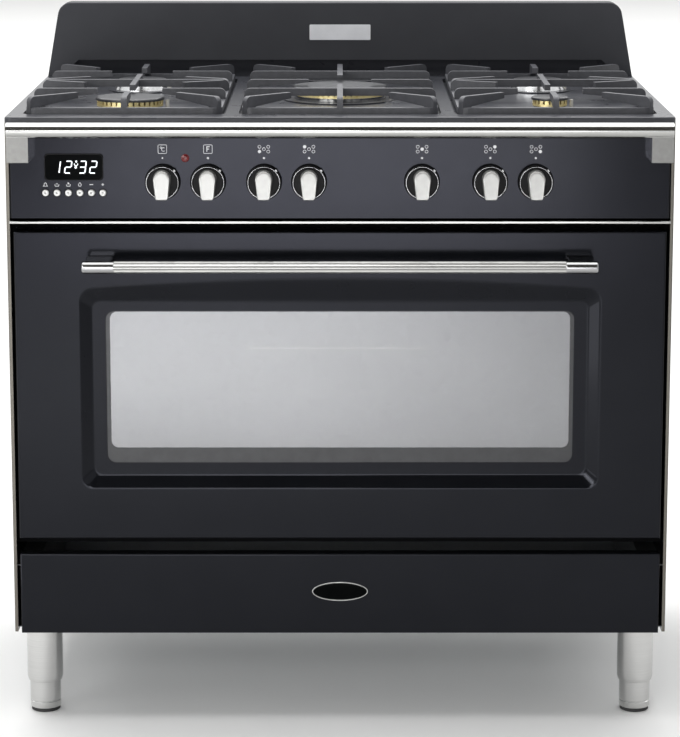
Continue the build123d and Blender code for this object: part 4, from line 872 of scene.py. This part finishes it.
# Studio: pale floor, soft boxes, and a world that shows white but lights only dimly.
studio = {"floorTones": ("#f6f6f5", "#f7f7f6"), "floorHalf": 16.0, "world": 0.42}
bm = bmesh.new()
bmesh.ops.create_grid(bm, x_segments=8, y_segments=8, size=studio["floorHalf"])
mesh = bpy.data.meshes.new("studioFloor")
bm.to_mesh(mesh)
bm.free()
studioFloor = bpy.data.objects.new("studioFloor", mesh)
scene.collection.objects.link(studioFloor)
mesh.materials.append(makeFinish(
    "paintedStudioFloor", {"Roughness": 0.9, "Specular IOR Level": 0.1},
    tone={"size": 900, "colours": studio["floorTones"]}))

world = bpy.data.worlds.new("studioWorld")
scene.world = world
world.use_nodes = True
tree = world.node_tree
tree.nodes.clear()
rays = addNode(tree, "ShaderNodeLightPath")
seen = rays.outputs["Is Camera Ray"]
for ray in ("Is Glossy Ray", "Is Transmission Ray"):
    seen = addNode(tree, "ShaderNodeMath", {"operation": "MAXIMUM"},
                   {0: seen, 1: rays.outputs[ray]}).outputs[0]
dim, white = (addNode(tree, "ShaderNodeBackground", {"Color": linear("#ffffff"), "Strength": strength})
              for strength in (studio["world"], 1.0))
mix = addNode(tree, "ShaderNodeMixShader", {}, {0: seen, 1: dim.outputs[0], 2: white.outputs[0]})
addNode(tree, "ShaderNodeOutputWorld", {}, {"Surface": mix.outputs[0]})

softboxes = {  # place, aim, width, height, watts, colour
    "overheadBox": ((-0.3, 0.1, 3.0), (0.0, 0.1, 0.0), 2.6, 2.2, 66, "#ffffff"),
    "keyBox": ((-0.4, -3.0, 1.0), (-0.4, -3.0, 0.0), 0.9, 2.2, 44, "#ffffff"),
    "sideStrip": ((-1.6, -1.35, 0.28), (0.35, -0.27, 0.3), 1.2, 0.5, 6, "#ffffff"),
    "lowFrontBox": ((0.0, -5.0, 0.42), (0.0, 0.0, 0.5), 1.5, 0.8, 14, "#ffffff"),
    "farStrip": ((-0.2, -6.6, 0.4), (-0.2, -6.6, 0.0), 1.7, 4.8, 118, "#f3f1ff"),
    "farFloorBox": ((-1.6, -11.4, 2.2), (-1.6, -11.4, 0.0), 7.0, 4.4, 330, "#ffffff"),
    "ovenLamp": ((0.0, -0.05, 0.6), (0.0, 0.1, 0.35), 0.3, 0.12, 1.6, "#fff6e8"),
    "backFloorBox": ((0.0, 7.5, 6.0), (0.0, 7.5, 0.0), 16.0, 10.0, 900, "#ffffff"),
}
for name, (place, aim, width, height, watts, colour) in softboxes.items():
    light = bpy.data.lights.new(name, "AREA")
    light.shape, light.size, light.size_y, light.energy = "RECTANGLE", width, height, watts
    light.color = linear(colour)[:3]
    lamp = bpy.data.objects.new(name, light)
    scene.collection.objects.link(lamp)
    lamp.location = place
    lamp.visible_camera = False
    lamp.rotation_euler = (Vector(aim) - Vector(place)).to_track_quat("-Z", "Y").to_euler()
# A dark card in front and overhead gives tubes their dark band, and a pale card high on the left lights the
# pressed corners; only reflections show them.
cards = {
    "darkCard": {"corners": ((-1.1, -3.6, 1.15), (1.1, -3.6, 1.15), (1.1, -3.6, 3.2), (-1.1, -3.6, 3.2),
                             (1.1, -1.9, 3.2), (-1.1, -1.9, 3.2)),
                 "faces": ((0, 1, 2, 3), (3, 2, 4, 5)), "tone": ("#4c4a45", "#565450"), "glow": 0.0},
    "paleCard": {"corners": ((-3.2, -2.2, 1.0), (-1.15, -3.7, 1.0), (-1.15, -3.7, 2.8), (-3.2, -2.2, 2.8)),
                 "faces": ((0, 1, 2, 3),), "tone": ("#e6e6e6", "#eeeeee"), "glow": 6.0},
}
for name, spec in cards.items():
    mesh = bpy.data.meshes.new(name)
    mesh.from_pydata(spec["corners"], [], spec["faces"])
    mesh.materials.append(makeFinish(
        name + "Felt", {"Roughness": 0.95, "Specular IOR Level": 0.0, "Emission Strength": spec["glow"]},
        tone={"size": 30, "colours": spec["tone"]}))
    cardPiece = bpy.data.objects.new(name, mesh)
    scene.collection.objects.link(cardPiece)
    cardPiece.visible_camera = cardPiece.visible_diffuse = cardPiece.visible_shadow = False
print("studio lit")

# Camera in front of the cooker, a little above its top and tipped down.
view = {"place": (0.0, -4.06075, 1.263), "pitch": 10.5, "lens": 138.6, "shift": -0.06}
camera = bpy.data.objects.new("frontCamera", bpy.data.cameras.new("frontCamera"))
scene.collection.objects.link(camera)
camera.location = view["place"]
camera.rotation_euler = (math.radians(90 - view["pitch"]), 0, 0)
camera.data.lens, camera.data.shift_y = view["lens"], view["shift"]
scene.camera = camera

bpy.context.view_layer.update()
